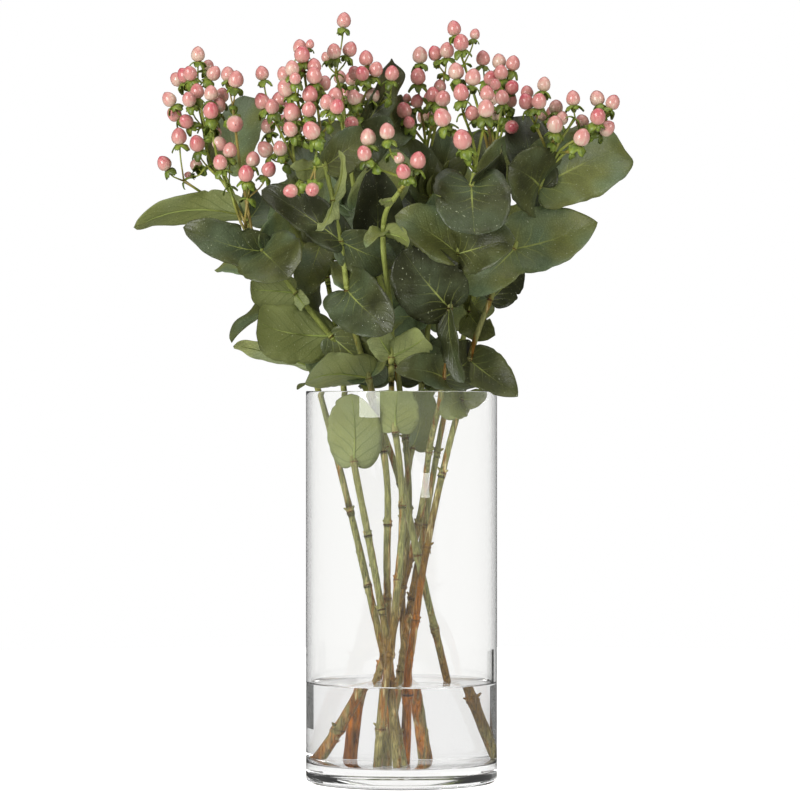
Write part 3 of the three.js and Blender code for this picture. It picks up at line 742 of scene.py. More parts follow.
# Soft green growth: young stalks, midribs and sepals. Stalks flush pink-brown in places.
greenFinish = {
    "young_stalk": dict(a="#9aa143", b="#6d7a30", flush="#a8714f", flushShare=0.45, size=9, roughness=0.42),
    "leaf_midrib": dict(a="#8d9a4c", b="#7c8a42", flush="#93824a", flushShare=0.2, size=12, roughness=0.5),
    "berry_sepal": dict(a="#5d7128", b="#869639", flush="#4a5622", flushShare=0.8, size=3.5, roughness=0.38),
}


def greenMaterial(name):
    look = greenFinish[name]
    material, tree = newMaterial(name)
    here = addNode(tree, "TexCoord")["Object"]
    blotch, broad = (
        addNode(tree, "TexNoise", {"Vector": here, "Scale": perMetre / size, "Detail": detail})["Fac"]
        for size, detail in ((look["size"], 3.0), (look["size"] * 4, 1.0))
    )
    green = layColours(tree, look["a"], ((blotch, 0.35, 0.65, 1.0, look["b"]),), linear)
    colour = layColours(tree, green, ((broad, 0.5, 0.68, look["flushShare"], look["flush"]),), smooth)
    endOpaque(tree, colour, blotch, 0.3, 0.3, {"Roughness": look["roughness"]})
    return material


# Ripening berry skin: cream-pink at the foot, coral above, faintly streaked lengthwise, with a glossy
# cuticle and a dry brown tip.
berryFinish = dict(
    foot="#dcc0ac", blush="#d4958c", coral="#c65a64", tip="#55301f", streak=1.3, cloud=6.25, drawnOut=0.18,
    relief=0.4, roughness=0.24, coat=0.5, coatRoughness=0.07,
)


def berryMaterial():
    look = berryFinish
    material, tree = newMaterial("berry_skin_glossy")
    own = addNode(tree, "Attribute", attribute_name="own")["Vector"]
    rise, ripe = (addNode(tree, "Attribute", attribute_name=mark)["Fac"] for mark in ("rise", "ripe"))
    drawn = addNode(tree, "Mapping", {"Vector": own, "Scale": (1.0, 1.0, look["drawnOut"])})[0]
    streaks, cloud = (
        addNode(tree, "TexNoise", {"Vector": spot, "Scale": 1 / size, "Detail": detail})["Fac"]
        for spot, size, detail in ((drawn, look["streak"], 3.0), (own, look["cloud"], 1.0))
    )
    warmth = rise
    for value, weight in ((ripe, 0.62), (cloud, 0.9), (streaks, 1.1)):
        warmth = addNode(tree, "Math", {0: value, 1: weight, 2: warmth}, **multiplyAdd)[0]
    layers = (
        (warmth, 1.2, 1.85, 1.0, look["blush"]), (warmth, 1.85, 2.75, 1.0, look["coral"]),
        (rise, 0.975, 1.0, 1.0, look["tip"]),
    )
    skin = layColours(tree, look["foot"], layers, smooth)
    shine = {"Coat Weight": look["coat"], "Coat Roughness": look["coatRoughness"]}
    endOpaque(tree, skin, streaks, 0.15, look["relief"], {"Roughness": look["roughness"], **shine})
    return material


# Clear media: soda-lime glass, pressed and fire-polished, and still tap water. Lamps and light that has
# already been scattered pass straight through, so what stands inside is lit as it would be. So does light
# that has bounced about inside a few times, or thick edges would end black.
clearFinish = {
    "soda_lime_glass": dict(ior=1.5, colour="#fefefd"),
    "still_water": dict(ior=1.33, colour="#f5f5f6"),
}
mostBounces = 2.5


def clearMaterial(name):
    look = clearFinish[name]
    material, tree = newMaterial(name)
    shader = addNode(
        tree, "BsdfPrincipled",
        {"Base Color": look["colour"], "Roughness": 0.0, "IOR": look["ior"], "Transmission Weight": 1.0},
    )[0]
    through = addNode(tree, "BsdfTransparent", {0: look["colour"]})[0]
    rays = addNode(tree, "LightPath")
    passing = addNode(tree, "Math", {0: rays["Glossy Depth"], 1: mostBounces}, operation="GREATER_THAN")[0]
    for ray in ("Is Diffuse Ray", "Is Shadow Ray"):
        passing = addNode(tree, "Math", {0: rays[ray], 1: passing}, operation="MAXIMUM")[0]
    shown = addNode(tree, "MixShader", {0: passing, 1: shader, 2: through})[0]
    addNode(tree, "OutputMaterial", {"Surface": shown})
    return material


leafMaterials = [leafMaterial(name) for name in leafFinish]
bark = barkMaterial()
stalkGreen, ribGreen, sepalGreen = (greenMaterial(name) for name in greenFinish)
berrySkin = berryMaterial()
glass, stillWater = (clearMaterial(name) for name in clearFinish)
print("materials made")


# The vase is a plain cylinder of clear glass with a heavy floor. Its outline is turned, and the four
# corners are rounded afterwards.
vaseForm = dict(wall=3.6, floor=15, footRound=4, rimRound=0.8, flatBeside=3, steps=128, roundSteps=5)


def roundCorner(bm, radius, height, offset, segments, near=0.01):
    def onCorner(vert):
        return abs(vert.co.z - height) < near and abs(vert.co.xy.length - radius) < near

    edges = [edge for edge in bm.edges if all(onCorner(vert) for vert in edge.verts)]
    bmesh.ops.bevel(
        bm, geom=edges, offset=offset, offset_type="OFFSET", segments=segments, profile=0.5,
        affect="EDGES", material=-1, clamp_overlap=True,
    )


def makeVase():
    form = vaseForm
    inner, floor = vaseRadius - form["wall"], form["floor"]
    foot = form["footRound"] + form["flatBeside"]
    rim = vaseHeight - form["rimRound"] - form["flatBeside"]
    outline = [
        (0, 0), (vaseRadius - foot, 0), (vaseRadius, 0), (vaseRadius, foot), (vaseRadius, rim),
        (vaseRadius, vaseHeight), (inner, vaseHeight), (inner, rim), (inner, floor + foot), (inner, floor),
        (inner - foot, floor), (0, floor),
    ]
    bm = turnedSolid(outline, form["steps"])
    for radius, height, size in (
        (vaseRadius, 0, "footRound"), (inner, floor, "footRound"), (vaseRadius, vaseHeight, "rimRound"),
        (inner, vaseHeight, "rimRound"),
    ):
        roundCorner(bm, radius, height, form[size], form["roundSteps"])
    finishPiece(bm, "vase_fine", [glass], "vase")


# The water wets the glass: it reaches a hair into it, so that no air shows between them, and climbs it a
# little at the edge. The edge has distances from the glass and the share of the climb there.
waterForm = dict(
    into=0.1, climb=1.6, edge=[(0, 1), (0.5, 0.6), (1.4, 0.25), (3, 0), (6, 0)], edgeRound=0.15,
    edgeSteps=2, edgeRing=0.5, lowerRing=3,
)


def makeWater():
    form = waterForm
    radius = vaseRadius - vaseForm["wall"] + form["into"]
    bottom = vaseForm["floor"] - form["into"]
    corner = vaseForm["footRound"] + vaseForm["flatBeside"]
    top = waterLevel + form["climb"]
    outline = [
        (0, bottom), (radius - corner, bottom), (radius, bottom), (radius, bottom + corner),
        (radius, waterLevel - form["lowerRing"]), (radius, top - form["edgeRing"]),
    ]
    outline += [(radius - inward, waterLevel + form["climb"] * share) for inward, share in form["edge"]]
    bm = turnedSolid(outline + [(0, waterLevel)], vaseForm["steps"])
    roundCorner(bm, radius, bottom, vaseForm["footRound"], vaseForm["roundSteps"])
    roundCorner(bm, radius, top, form["edgeRound"], form["edgeSteps"])
    finishPiece(bm, "water_fine", [stillWater], "water")


makeVase()
makeWater()
print("vase and water made")


# A woody stem: round, tapering, swollen at its joints, with a scar ring at each and a pair of bud stubs at
# the bare ones, where leaves were stripped off. Slivers of bark stand off it at the bare joints, and one to
# each gap on its lower part.
stemForm = dict(footRadius=3.2, topRadius=1.7, sides=12, step=5, uneven=0.06)
jointForm = dict(
    swell=0.26, length=2.6, scar=1.1, spacing=56, ringsBeside=(-4, -2, -1, 0, 1, 2, 4), bud=3.6,
    budSpread=(0.6, 1.2), budRadii=[1.3, 1.1, 0.6], budSides=6, budLean=0.8, budKnee=0.7,
)
flakeForm = dict(
    atJoints=3, within=2, lowerShare=0.4, gap=16, firstAt=0.03, length=4.5, shrink=(0.4, 1), off=(0.3, 0.6),
    knee=0.6, rootedAt=0.75, radii=[0.75, 0.55, 0.15], sides=4,
)


def stemRadius(station):
    return mixed(stemForm["footRadius"], stemForm["topRadius"], station)


def jointStations(stem, route):
    leafy = sorted({stationAtRow(route, leaf["start"]) for leaf in stem["leaves"]})
    lowest = curvePoint(route, leafy[0]).z
    count = int((lowest - waterLevel / 2) / jointForm["spacing"])
    bare = [stationAtHeight(route, lowest - (i + 1) * jointForm["spacing"]) for i in range(count)]
    return leafy, bare


def addBark(bm, stem, route):
    leafy, bare = jointStations(stem, route)
    length = curveLength(route)
    steps = int(length / stemForm["step"])
    near = [joint + shift / length for joint in leafy + bare for shift in jointForm["ringsBeside"]]
    even = {i / steps for i in range(steps + 1)}
    stations = sorted(even | {station for station in near if 0 < station < 1})
    radii, closeness = [], []
    for station in stations:
        away = min(abs(joint - station) for joint in leafy + bare) * length
        closeness.append(math.exp(-((away / jointForm["scar"]) ** 2)))
        swell = 1 + jointForm["swell"] * math.exp(-((away / jointForm["length"]) ** 2))
        radii.append(stemRadius(station) * swell * (1 + draw.uniform(-1, 1) * stemForm["uneven"]))
    knot = bm.verts.layers.float.new("knot")
    ring = addStalk(bm, [curvePoint(route, station) for station in stations], radii, stemForm["sides"])
    for i, vert in enumerate(ring):
        vert[knot] = closeness[i // stemForm["sides"]]
    everything = bm.verts[:] + bm.edges[:] + bm.faces[:]
    cut = bmesh.ops.bisect_plane(
        bm, geom=everything, dist=0.001, plane_co=(0, 0, stemFoot), plane_no=(0, 0, 1), clear_inner=True
    )["geom_cut"]
    bmesh.ops.holes_fill(bm, edges=[item for item in cut if isinstance(item, bmesh.types.BMEdge)], sides=0)
    for joint in bare:
        base, along = curvePoint(route, joint), curveDirection(route, joint)
        aside = anyAside(along)
        for side in (-1, 1):
            out = (along * jointForm["budLean"] + aside * side).normalized()
            reach = stemRadius(joint) + jointForm["bud"] * draw.uniform(*jointForm["budSpread"])
            line = [base, base + out * reach * jointForm["budKnee"], base + out * reach]
            addStalk(bm, line, jointForm["budRadii"], jointForm["budSides"])
        for _ in range(flakeForm["atJoints"]):
            addFlake(bm, route, joint + draw.uniform(-1, 1) * flakeForm["within"] / length)
    for i in range(int(length * flakeForm["lowerShare"] / flakeForm["gap"])):
        addFlake(bm, route, (i + draw.random()) * flakeForm["gap"] / length + flakeForm["firstAt"])


# A sliver of bark that has peeled and stands off the stem.
def addFlake(bm, route, station):
    base, along = curvePoint(route, station), curveDirection(route, station)
    aside = anyAside(along)
    root = base + aside * (stemRadius(station) * flakeForm["rootedAt"])
    reach = (along * draw.choice((-1, 1)) + aside * draw.uniform(*flakeForm["off"])) * flakeForm["length"]
    reach *= draw.uniform(*flakeForm["shrink"])
    line = [root, root + reach * flakeForm["knee"], root + reach]
    addStalk(bm, line, flakeForm["radii"], flakeForm["sides"])


# A leaf blade: broad and round-shouldered, clasping the stem with two lobes, arched along its length and
# folded a little along its rib, with waved, slightly ragged edges and a tip that curls. Lengths are in mm.
# The fuller the point, the more the blade narrows towards its tip.
leafForm = dict(
    rows=40, columns=12, crowding=1.4, thickness=0.5, foldDegrees=17, foldSpread=(0.5, 1.3), foldRound=0.2,
    arch=0.09, fullest=0.43, point=0.52, rootWidth=1.8, lobe=0.12, lobeRise=0.35, lobeFade=2, lobePeak=0.37,
    wave=1.9, waveSpread=(0.6, 1.5), waveEdge=2.2, waveFull=1.5, ripples=(0.9, 1.6), fineWave=0.45,
    fineRipples=(2.2, 3.4), ragged=0.016, raggedWaves=(29, 53), raggedFine=0.7, curlFrom=0.8,
    curlDegrees=(-45, 12), twistDegrees=9, lean=0.05, nick=0.3, nickAt=(0.3, 0.85), nickWidth=0.02,
    ribRadius=0.9, ribSunk=0.45, ribTaper=0.85, ribSides=6, ribAt=[0.0, 0.08, 0.2, 0.35, 0.5, 0.65, 0.8, 0.9],
)


def halfWidth(share, leaf):
    fullest = leaf.get("fullest", leafForm["fullest"])
    towardsTip = leaf.get("point", leafForm["point"])
    towardsBase = towardsTip * fullest / (1 - fullest)
    peak = fullest**towardsBase * (1 - fullest) ** towardsTip
    oval = share**towardsBase * (1 - share) ** towardsTip / peak
    return max(leaf["width"] / 2 * oval, leafForm["rootWidth"] / 2 * (1 - share))


# How far the lobes reach back at a share of the length: most of all a little past the base.
def rounding(share):
    return share ** leafForm["lobeRise"] * (1 - share) ** leafForm["lobeFade"] / leafForm["lobePeak"]


# A share of a leaf's length as distances along the leaf and above it, with its tip curled into an arc.
def curledTip(share, length, curl):
    past = share - leafForm["curlFrom"]
    if past <= 0 or abs(curl) < 1:
        return length * share, 0
    radius = (1 - leafForm["curlFrom"]) * length / math.radians(curl)
    turn = past * length / radius
    return length * leafForm["curlFrom"] + radius * math.sin(turn), radius * (1 - math.cos(turn))


# The place of a spot on a leaf, by its share of the length and its share of the half width.
def bladeRule(base, leaf):
    form = leafForm
    tip = place(leaf["tip"])
    length = (tip - base).length
    along = (tip - base) / length
    across, front = crossAxes(along)
    roll = Matrix.Rotation(math.radians(leaf["roll"] + (180 if leaf.get("under") else 0)), 3, along)
    side, up = roll @ across, roll @ front
    fold = math.radians(form["foldDegrees"] * draw.uniform(*form["foldSpread"]))
    phase = [draw.uniform(0, math.tau) for _ in range(6)]
    ripples = [draw.uniform(*form["ripples"]), draw.uniform(*form["fineRipples"])]
    waves = form["wave"] * draw.uniform(*form["waveSpread"])
    twist = math.tan(math.radians(form["twistDegrees"])) * draw.uniform(-1, 1)
    curl = leaf.get("curl", draw.uniform(*form["curlDegrees"]))
    rounded = form["foldRound"]
    nickAt, nickDeep = draw.uniform(*form["nickAt"]), draw.uniform(0, form["nick"])
    nickSide = draw.choice((-1, 1))
    lean = draw.uniform(-form["lean"], form["lean"])

    def spot(share, edge):
        half = halfWidth(share, leaf)
        bow = 4 * share * (1 - share)
        away = abs(edge)
        right = edge > 0
        wave = math.sin(math.tau * ripples[0] * share + phase[right]) * away ** form["waveEdge"]
        wave += form["fineWave"] * math.sin(math.tau * ripples[1] * share + phase[2 + right]) * away**3
        lift = (away * (1 + rounded) - rounded + rounded * (1 - away) ** 3) * half * math.sin(fold)
        ahead, above = curledTip(share, length, curl)
        loose = wave * waves + twist * edge * half
        height = lift + form["arch"] * length * bow + loose * min(1, bow * form["waveFull"])
        back = leaf.get("lobe", form["lobe"]) * length * away**2 * rounding(share)
        coarse, fine = form["raggedWaves"]
        ragged = math.sin(coarse * share + phase[4 + right])
        ragged += form["raggedFine"] * math.sin(fine * share + phase[right])
        fromNick = (share - nickAt) / form["nickWidth"]
        nick = nickDeep * math.exp(-(fromNick**2)) if edge * nickSide > 0 else 0
        outline = 1 + (form["ragged"] * ragged * min(1, bow) - nick) * away**4
        bend = lean * length * bow
        point = base + along * (ahead - back) + side * (edge * half * outline * math.cos(fold) + bend)
        point += up * (height + above)
        point.z -= leaf.get("sag", 0) * bow
        return point

    return spot, up


def addBlade(bm, spot, leaf):
    marks = bm.verts.layers.float_vector["blade"]
    # A leaf's tone is random unless it is listed; a listed tone also paints shade or light over the whole
    # leaf.
    tint = draw.uniform(-0.5, 0.5)
    tint = leaf.get("tint", tint)
    grid = bmesh.ops.create_grid(bm, x_segments=leafForm["rows"], y_segments=leafForm["columns"], size=1)
    for vert in grid["verts"]:
        share = ((vert.co.x + 1) / 2) ** leafForm["crowding"]  # closer together near the root
        edge = -vert.co.y
        vert[marks] = (share, edge, tint)
        vert.co = spot(share, edge)


# Drops that lie on the upper face.
dewForm = dict(least=0.3, most=0.85, flat=0.6, long=(0.9, 1.6), upTo=(0.1, 0.92), out=0.88, around=7, rings=5)


def addDew(bm, spot, up, count, step=0.01):
    for _ in range(count):
        share, edge = draw.uniform(*dewForm["upTo"]), draw.uniform(-dewForm["out"], dewForm["out"])
        middle = spot(share, edge)
        out = (spot(share + step, edge) - middle).cross(spot(share, edge + step) - middle).normalized()
        out = out if out.dot(up) > 0 else -out
        size = mixed(dewForm["least"], dewForm["most"], draw.random() ** 2)
        shape = Matrix.Diagonal((size * draw.uniform(*dewForm["long"]), size, size * dewForm["flat"], 1))
        bmesh.ops.create_uvsphere(
            bm, u_segments=dewForm["around"], v_segments=dewForm["rings"], radius=1,
            matrix=seatAt(middle + out * (leafForm["thickness"] / 2), out) @ shape,
        )


# The rib stands out below the blade and runs to most of its length.
def addRib(bm, spot, up):
    shares, sunk = leafForm["ribAt"], leafForm["ribSunk"]
    radii = [leafForm["ribRadius"] * (1 - leafForm["ribTaper"] * share) for share in shares]
    line = [spot(share, 0) - up * (sunk * radius) for share, radius in zip(shares, radii)]
    addStalk(bm, line, radii, leafForm["ribSides"], 1)


# The upper face of a blade is drawn as a sheet, and its thickness and underside come from the modifier.
def finishBlades(bm, name, node):
    piece = finishPiece(bm, name, leafMaterials, node, False)
    solidify = piece.modifiers.new("thickness", "SOLIDIFY")
    solidify.thickness = leafForm["thickness"] * mm
    solidify.offset = 0
    solidify.material_offset = 1


def makeStem(name, stem):
    route = [place(spot) for spot in stem["route"]]
    wood, blades, drops = bmesh.new(), bmesh.new(), bmesh.new()
    addBark(wood, stem, route)
    blades.verts.layers.float_vector.new("blade")
    for leaf in stem["leaves"]:
        spot, up = bladeRule(curvePoint(route, stationAtRow(route, leaf["start"])), leaf)
        addBlade(blades, spot, leaf)
        addRib(wood, spot, up)
        addDew(drops, spot, up, leaf.get("dew", 0))
    age = wood.verts.layers.float.new("age")
    older = draw.uniform(-0.5, 1)
    for vert in wood.verts:
        vert[age] = older
    node = "leafy_stem_" + name
    finishPiece(wood, "stem_wood_" + name, [bark, ribGreen], node)
    finishBlades(blades, "stem_leaves_" + name, node)
    if drops.verts:
        finishPiece(drops, "dew_" + name, [stillWater], node)
    else:
        drops.free()


for name, stem in stems.items():
    makeStem(name, stem)
print("stems made:", len(stems))


# A berry is an egg that stands on its broad end and comes to a small point. It sits on a calyx of five
# reflexed sepals, three broad and two narrower.
berryForm = dict(
    length=12.4, width=10.9, sides=12, rings=8, fullness=1.08, taper=0.3, fullAt=0.25, blunt=0.94, beak=0.35,
    spacing=12.4, rounds=40, cloudSpread=90,
)
sepalForm = dict(
    start=0.5, reach=6.2, width=6.2, least=0.32, ovalFrom=0.1, ovalSpan=0.82, blunt=0.7, rounded=0.12,
    rise=0.8, droop=4.2, droopBend=1.8, cup=0.6, thickness=0.6, rows=5, columns=3,
    sizes=[1.1, 0.82, 1.05, 0.78, 1.1], tiltDegrees=(-12, 14), shift=0.12, stretch=(0.92, 1.08),
)


def berryShape():
    form = berryForm
    outline = []
    for i in range(form["rings"] + 1):
        turn = math.pi * i / form["rings"]
        height = (form["length"] - form["beak"]) * (1 - math.cos(turn)) / 2
        egg = form["fullness"] - form["taper"] * (height / form["length"] - form["fullAt"])
        radius = form["width"] / 2 * math.sin(turn) ** form["blunt"] * egg if 0 < i < form["rings"] else 0
        outline.append((radius, height + (form["beak"] if i == form["rings"] else 0)))
    return meshFrom(turnedSolid(outline, form["sides"]), "berry_shape")


# A sepal is a spoon-shaped lobe that rises a little from the stalk and then curls down.
def sepalShape():
    form = sepalForm
    bm = bmesh.new()
    grid = bmesh.ops.create_grid(bm, x_segments=form["rows"], y_segments=form["columns"], size=1)
    for vert in grid["verts"]:
        share = (vert.co.x + 1) / 2
        edge = vert.co.y
        oval = math.sin(math.pi * (form["ovalFrom"] + form["ovalSpan"] * share)) ** form["blunt"]
        half = form["width"] / 2 * max(form["least"], oval)
        height = form["rise"] * math.sin(math.pi * share) - form["droop"] * share ** form["droopBend"]
        height -= form["cup"] * edge**2
        out = form["start"] + form["reach"] * (share - form["rounded"] * edge**2 * share**4)
        vert.co = (out, edge * half, height)
    bmesh.ops.solidify(bm, geom=bm.faces[:], thickness=form["thickness"])
    bmesh.ops.recalc_face_normals(bm, faces=bm.faces[:])
    return meshFrom(bm, "sepal_shape")


# The berries of a spray with their middles. Where two would touch, they shift in depth until they are
# clear. The berries that fill the gaps come second and move alone.
def settledBerries(cymes):
    main, filling = (
        [
            dict(fork=cyme["fork"], middle=place(berry[:3]), size=(berry[3:] or [1])[0])
            for cyme in cymes
            for berry in cyme.get(kind, [])
        ]
        for kind in ("berries", "more")
    )
    spreadInDepth(main, 0)
    spreadInDepth(main + filling, len(main))
    return main + filling


def spreadInDepth(fruits, held):
    for _ in range(berryForm["rounds"]):
        for j, other in enumerate(fruits):
            for i, one in enumerate(fruits[:j]):
                if j < held:
                    continue
                beside = math.hypot(one["middle"].x - other["middle"].x, one["middle"].z - other["middle"].z)
                apart = berryForm["spacing"] * (one["size"] + other["size"]) / 2
                behind = other["middle"].y - one["middle"].y
                wanted = math.sqrt(apart**2 - beside**2) if beside < apart else 0
                shift = max(0, wanted - abs(behind)) / 2 * (-1 if behind < 0 else 1)
                if i < held:
                    other["middle"].y += shift * 2
                else:
                    one["middle"].y -= shift
                    other["middle"].y += shift


# A spray's hub stands clear of its stem. A pedicel has its widths as shares of its radius, from its fork to
# its berry.
stalkForm = dict(
    hubRadius=2.0, hubWidths=[0.9, 1, 0.7], hubLength=3.0, hubSides=10, clear=0.3, branchRadius=1.25,
    tipRadius=0.95, branchSides=8, branchStep=6, leastSteps=6, bendAt=0.3, knuckle=1.05,
    bractSizes=(0.8, 1.25), pedicelRadius=0.68, pedicelWidths=[1.3, 1, 1, 1, 1.15, 2.1], pedicelSides=6,
    pedicelBend=0.35, sunk=0.8, upwards=0.5,
)


def makeSpray(name, stem, berry, sepal):
    form = stalkForm
    route = [place(spot) for spot in stem["route"]]
    upward = curveDirection(route, 1)
    start = curvePoint(route, 1) + upward * form["clear"]
    root = start + upward * (form["hubLength"] / 2)
    stalks, sepals, berries = bmesh.new(), bmesh.new(), bmesh.new()
    hub = [form["hubRadius"] * width for width in form["hubWidths"]]
    addStalk(stalks, [start, root, start + upward * form["hubLength"]], hub, form["hubSides"])
    for cyme in stem["cymes"]:
        addBranch(stalks, sepals, sepal, root, upward, cyme)
    own = berries.verts.layers.float_vector.new("own")
    rise, ripe = berries.verts.layers.float.new("rise"), berries.verts.layers.float.new("ripe")
    pedicel = [form["pedicelRadius"] * width for width in form["pedicelWidths"]]
    last = len(pedicel) - 1
    for fruit in settledBerries(stem["cymes"]):
        fork, size = place(fruit["fork"]), fruit["size"]
        lean = (fruit["middle"] - fork).normalized()
        lean = (lean + Vector((0, 0, form["upwards"]))).normalized()
        foot = fruit["middle"] - lean * (berryForm["length"] * size / 2)
        gap = (foot - fork).length
        line = [fork, foot - lean * (gap * form["pedicelBend"]), foot + lean * form["sunk"]]
        spots = [curvePoint(line, i / last) for i in range(last + 1)]
        addStalk(stalks, spots, pedicel, form["pedicelSides"])
        spin = Matrix.Rotation(draw.uniform(0, math.tau), 4, "Z")
        seat = seatAt(foot, lean) @ spin @ Matrix.Scale(size, 4)
        ripeness = draw.random()
        cloud = Vector([draw.uniform(0, berryForm["cloudSpread"]) for _ in range(3)])
        fresh = addShape(berries, berry)
        for vert in fresh:
            vert[rise] = vert.co.z / berryForm["length"]
            vert[ripe] = ripeness
            vert[own] = vert.co + cloud
        bmesh.ops.transform(berries, matrix=seat, verts=fresh)
        for i, wide in enumerate(sepalForm["sizes"]):
            tilt = Matrix.Rotation(math.radians(draw.uniform(*sepalForm["tiltDegrees"])), 4, "Y")
            shift = draw.uniform(-sepalForm["shift"], sepalForm["shift"])
            lobe = Matrix.Rotation(math.tau * i / 5 + shift, 4, "Z")
            stretch = Matrix.Scale(wide * draw.uniform(*sepalForm["stretch"]), 4)
            bmesh.ops.transform(sepals, matrix=seat @ lobe @ tilt @ stretch, verts=addShape(sepals, sepal))
    node = "berry_spray_" + name
    finishPiece(stalks, "spray_stalks_" + name, [stalkGreen], node)
    finishPiece(sepals, "spray_sepals_" + name, [sepalGreen], node)
    finishPiece(berries, "spray_berries_" + name, [berrySkin], node)
    if "bracts" in stem:
        makeBracts(stem["bracts"], "spray_leaf_" + name, node)


# A branch from the hub to its fork, with a knuckle and two small bracts there.
def addBranch(stalks, sepals, sepal, root, upward, cyme):
    end = place(cyme["fork"])
    reach = (end - root).length
    bend = place(cyme["bend"]) if "bend" in cyme else root + upward * (reach * stalkForm["bendAt"])
    line = [root, bend, end]
    steps = max(stalkForm["leastSteps"], int(reach / stalkForm["branchStep"]))
    thick, thin = stalkForm["branchRadius"], stalkForm["tipRadius"]
    spots = [curvePoint(line, i / steps) for i in range(steps + 1)]
    radii = [mixed(thick, thin, i / steps) for i in range(steps + 1)]
    radii[-1] = thick * stalkForm["knuckle"]
    addStalk(stalks, spots, radii, stalkForm["branchSides"])
    spin = draw.uniform(0, math.tau)
    for side in (0, math.pi):
        size = Matrix.Scale(draw.uniform(*stalkForm["bractSizes"]), 4)
        seat = seatAt(end, curveDirection(line, 1)) @ Matrix.Rotation(spin + side, 4, "Z") @ size
        bmesh.ops.transform(sepals, matrix=seat, verts=addShape(sepals, sepal))


# A few sprays hold a full leaf among their berries.
def makeBracts(leaves, name, node):
    blades = bmesh.new()
    blades.verts.layers.float_vector.new("blade")
    for leaf in leaves:
        spot, _ = bladeRule(place(leaf["start"]), leaf)
        addBlade(blades, spot, leaf)
    finishBlades(blades, name, node)


berryMesh, sepalMesh = berryShape(), sepalShape()
for name, stem in stems.items():
    makeSpray(name, stem, berryMesh, sepalMesh)
print("sprays made")


# The studio: a pale floor that runs into a white surround, soft lamps, and low dark cards behind the vase
# that only the glass and the water pick up. The vase stands a hair above the floor, so that its foot
# mirrors the room as a real one does.
studio = dict(
    floorRadius=1.6, floorSides=96, below=0.5, floorPaint="#f2f2f1", floorRoughness=0.9,
    floorSeen=0.72, floorThrough=1.0, floorGlow=0.08, surround=1.0, through=1.01, fill=0.25, shine=0.06,
)


# How strongly something shines, by what kind of ray looks at it.
def strengthFor(tree, rays, seen, through, other, shine):
    strength = other
    for ray, value in (("Is Glossy Ray", shine), ("Is Transmission Ray", through), ("Is Camera Ray", seen)):
        strength = addNode(tree, "Mix", {0: rays[ray], 2: strength, 3: value}, data_type="FLOAT")[0]
    return strength


# Seen through the glass the floor only glows, evenly, so that no lamp draws an edge there.
def makeFloor():
    bm = bmesh.new()
    bmesh.ops.create_circle(bm, cap_ends=True, radius=studio["floorRadius"], segments=studio["floorSides"])
    bmesh.ops.translate(bm, vec=(0, 0, -studio["below"] * mm), verts=bm.verts[:])
    material, tree = newMaterial("matt_white_paint")
    rays = addNode(tree, "LightPath")
    glow = strengthFor(tree, rays, studio["floorSeen"], studio["floorThrough"], studio["floorGlow"], 0.0)
    colour = addNode(
        tree, "Mix", {0: rays["Is Transmission Ray"], colourA: studio["floorPaint"], colourB: "#000000"},
        data_type="RGBA",
    )[colourOut]
    shader = addNode(
        tree, "BsdfPrincipled",
        {
            "Base Color": colour, "Roughness": studio["floorRoughness"], "Specular IOR Level": 0.0,
            "Emission Color": "#ffffff", "Emission Strength": glow,
        },
    )
    addNode(tree, "OutputMaterial", {"Surface": shader[0]})
    floor = addItem("floor", meshFrom(bm, "floor", [material]))
    floor.visible_glossy = False


def makeSurround():
    world = bpy.data.worlds.new("surround")
    world.use_nodes = True
    tree = world.node_tree
    tree.nodes.clear()
    rays = addNode(tree, "LightPath")
    strength = strengthFor(tree, rays, studio["surround"], studio["through"], studio["fill"], studio["shine"])
    light = addNode(tree, "Background", {"Color": "#ffffff", "Strength": strength})
    addNode(tree, "OutputWorld", {"Surface": light[0]})
    bpy.context.scene.world = world


# Lamps are large soft panels, each with its place, what it points at, its size in metres and its watts. The
# key's lower edge lies just below the rim, and the small panel is low: both show as windows in the glass.
# The back lamp lights what faces away, and isn't mirrored. No lamp is seen through the glass.
lamps = {
    "key": dict(at=(-1.32, -1.68, 0.913), to=(0, 0, 0.713), size=(1.0, 1.3), watts=42),
    "right": dict(at=(1.75, -1.35, 1.3), to=(0, 0, 0.4), size=(0.8, 1.3), watts=19),
    "top": dict(at=(0.1, 0.1, 2.2), to=(0, 0, 0.4), size=(1.6, 1.6), watts=12),
    "window": dict(at=(0.94, -1.77, 0.183), to=(0, 0, 0.22), size=(0.36, 0.031), watts=0.35),
    "back": dict(at=(-0.3, 1.9, 1.15), to=(0, 0, 0.45), size=(1.4, 1.2), watts=17, mirrored=False),
}


def makeLamps():
    for name, lamp in lamps.items():
        data = bpy.data.lights.new(name, "AREA")
        data.shape = "RECTANGLE"
        data.size, data.size_y = lamp["size"]
        data.energy = lamp["watts"]
        item = addItem(name, data)
        item.location = lamp["at"]
        aim = Vector(lamp["to"]) - Vector(lamp["at"])
        item.rotation_euler = aim.to_track_quat("-Z", "Y").to_euler()
        item.visible_transmission = False
        item.visible_glossy = lamp.get("mirrored", True)


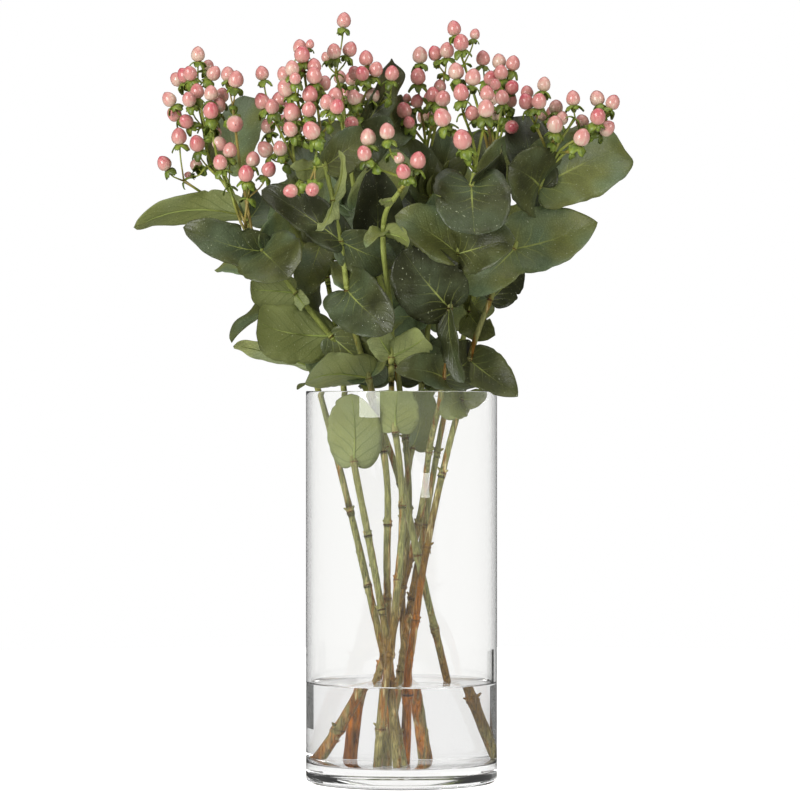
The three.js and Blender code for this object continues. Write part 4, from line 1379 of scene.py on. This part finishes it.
# The cards stand in an arc on each side behind the vase, low enough to be out of sight from above. They
# darken the edges of the water and of the glass floor, and are left out through two dry walls of glass.
cards = {
    "card_left": dict(side=1, radius=0.30, height=0.05, fromDegrees=32, toDegrees=56),
    "card_right": dict(side=-1, radius=0.45, height=0.075, fromDegrees=35.5, toDegrees=58),
}
cardLook = dict(paint="#33342f", roughness=0.9, steps=12, dryDepth=3.5, dryWithin=0.75)


def makeCards():
    look = cardLook
    material, tree = newMaterial("black_card")
    shader = addNode(
        tree, "BsdfPrincipled", {"Base Color": look["paint"], "Roughness": look["roughness"]}
    )[0]
    nothing = addNode(tree, "BsdfTransparent")[0]
    depth = addNode(tree, "LightPath")["Transmission Depth"]
    dry = addNode(
        tree, "Math", {0: depth, 1: look["dryDepth"], 2: look["dryWithin"]}, operation="COMPARE"
    )[0]
    shown = addNode(tree, "MixShader", {0: dry, 1: shader, 2: nothing})[0]
    addNode(tree, "OutputMaterial", {"Surface": shown})
    for name, card in cards.items():
        turn = Matrix.Rotation(math.radians(card["fromDegrees"]) * card["side"], 3, "Z")
        start = turn @ Vector((0, card["radius"], 0))
        sweep = math.radians(card["toDegrees"] - card["fromDegrees"]) * card["side"]
        bm = spun([start, start + Vector((0, 0, card["height"]))], sweep, look["steps"], False)
        item = addItem(name, meshFrom(bm, name, [material]))
        for kind in ("camera", "diffuse", "glossy", "shadow", "volume_scatter"):
            setattr(item, "visible_" + kind, False)


# The camera is level with the vase's rim.
eyePlace = dict(x=-1.15, away=3043, tiltDegrees=-0.13, lens=178.2, sensor=36, farEnd=50)


def makeCamera():
    data = bpy.data.cameras.new("view")
    data.lens = eyePlace["lens"]
    data.sensor_width = eyePlace["sensor"]
    data.clip_end = eyePlace["farEnd"]
    camera = addItem("view", data)
    camera.location = (eyePlace["x"] * mm, -eyePlace["away"] * mm, vaseHeight * mm)
    camera.rotation_euler = (math.radians(90 + eyePlace["tiltDegrees"]), 0, 0)
    bpy.context.scene.camera = camera


makeFloor()
makeSurround()
makeLamps()
makeCards()
makeCamera()
bpy.context.scene.view_settings.view_transform = "Standard"
print("studio made")
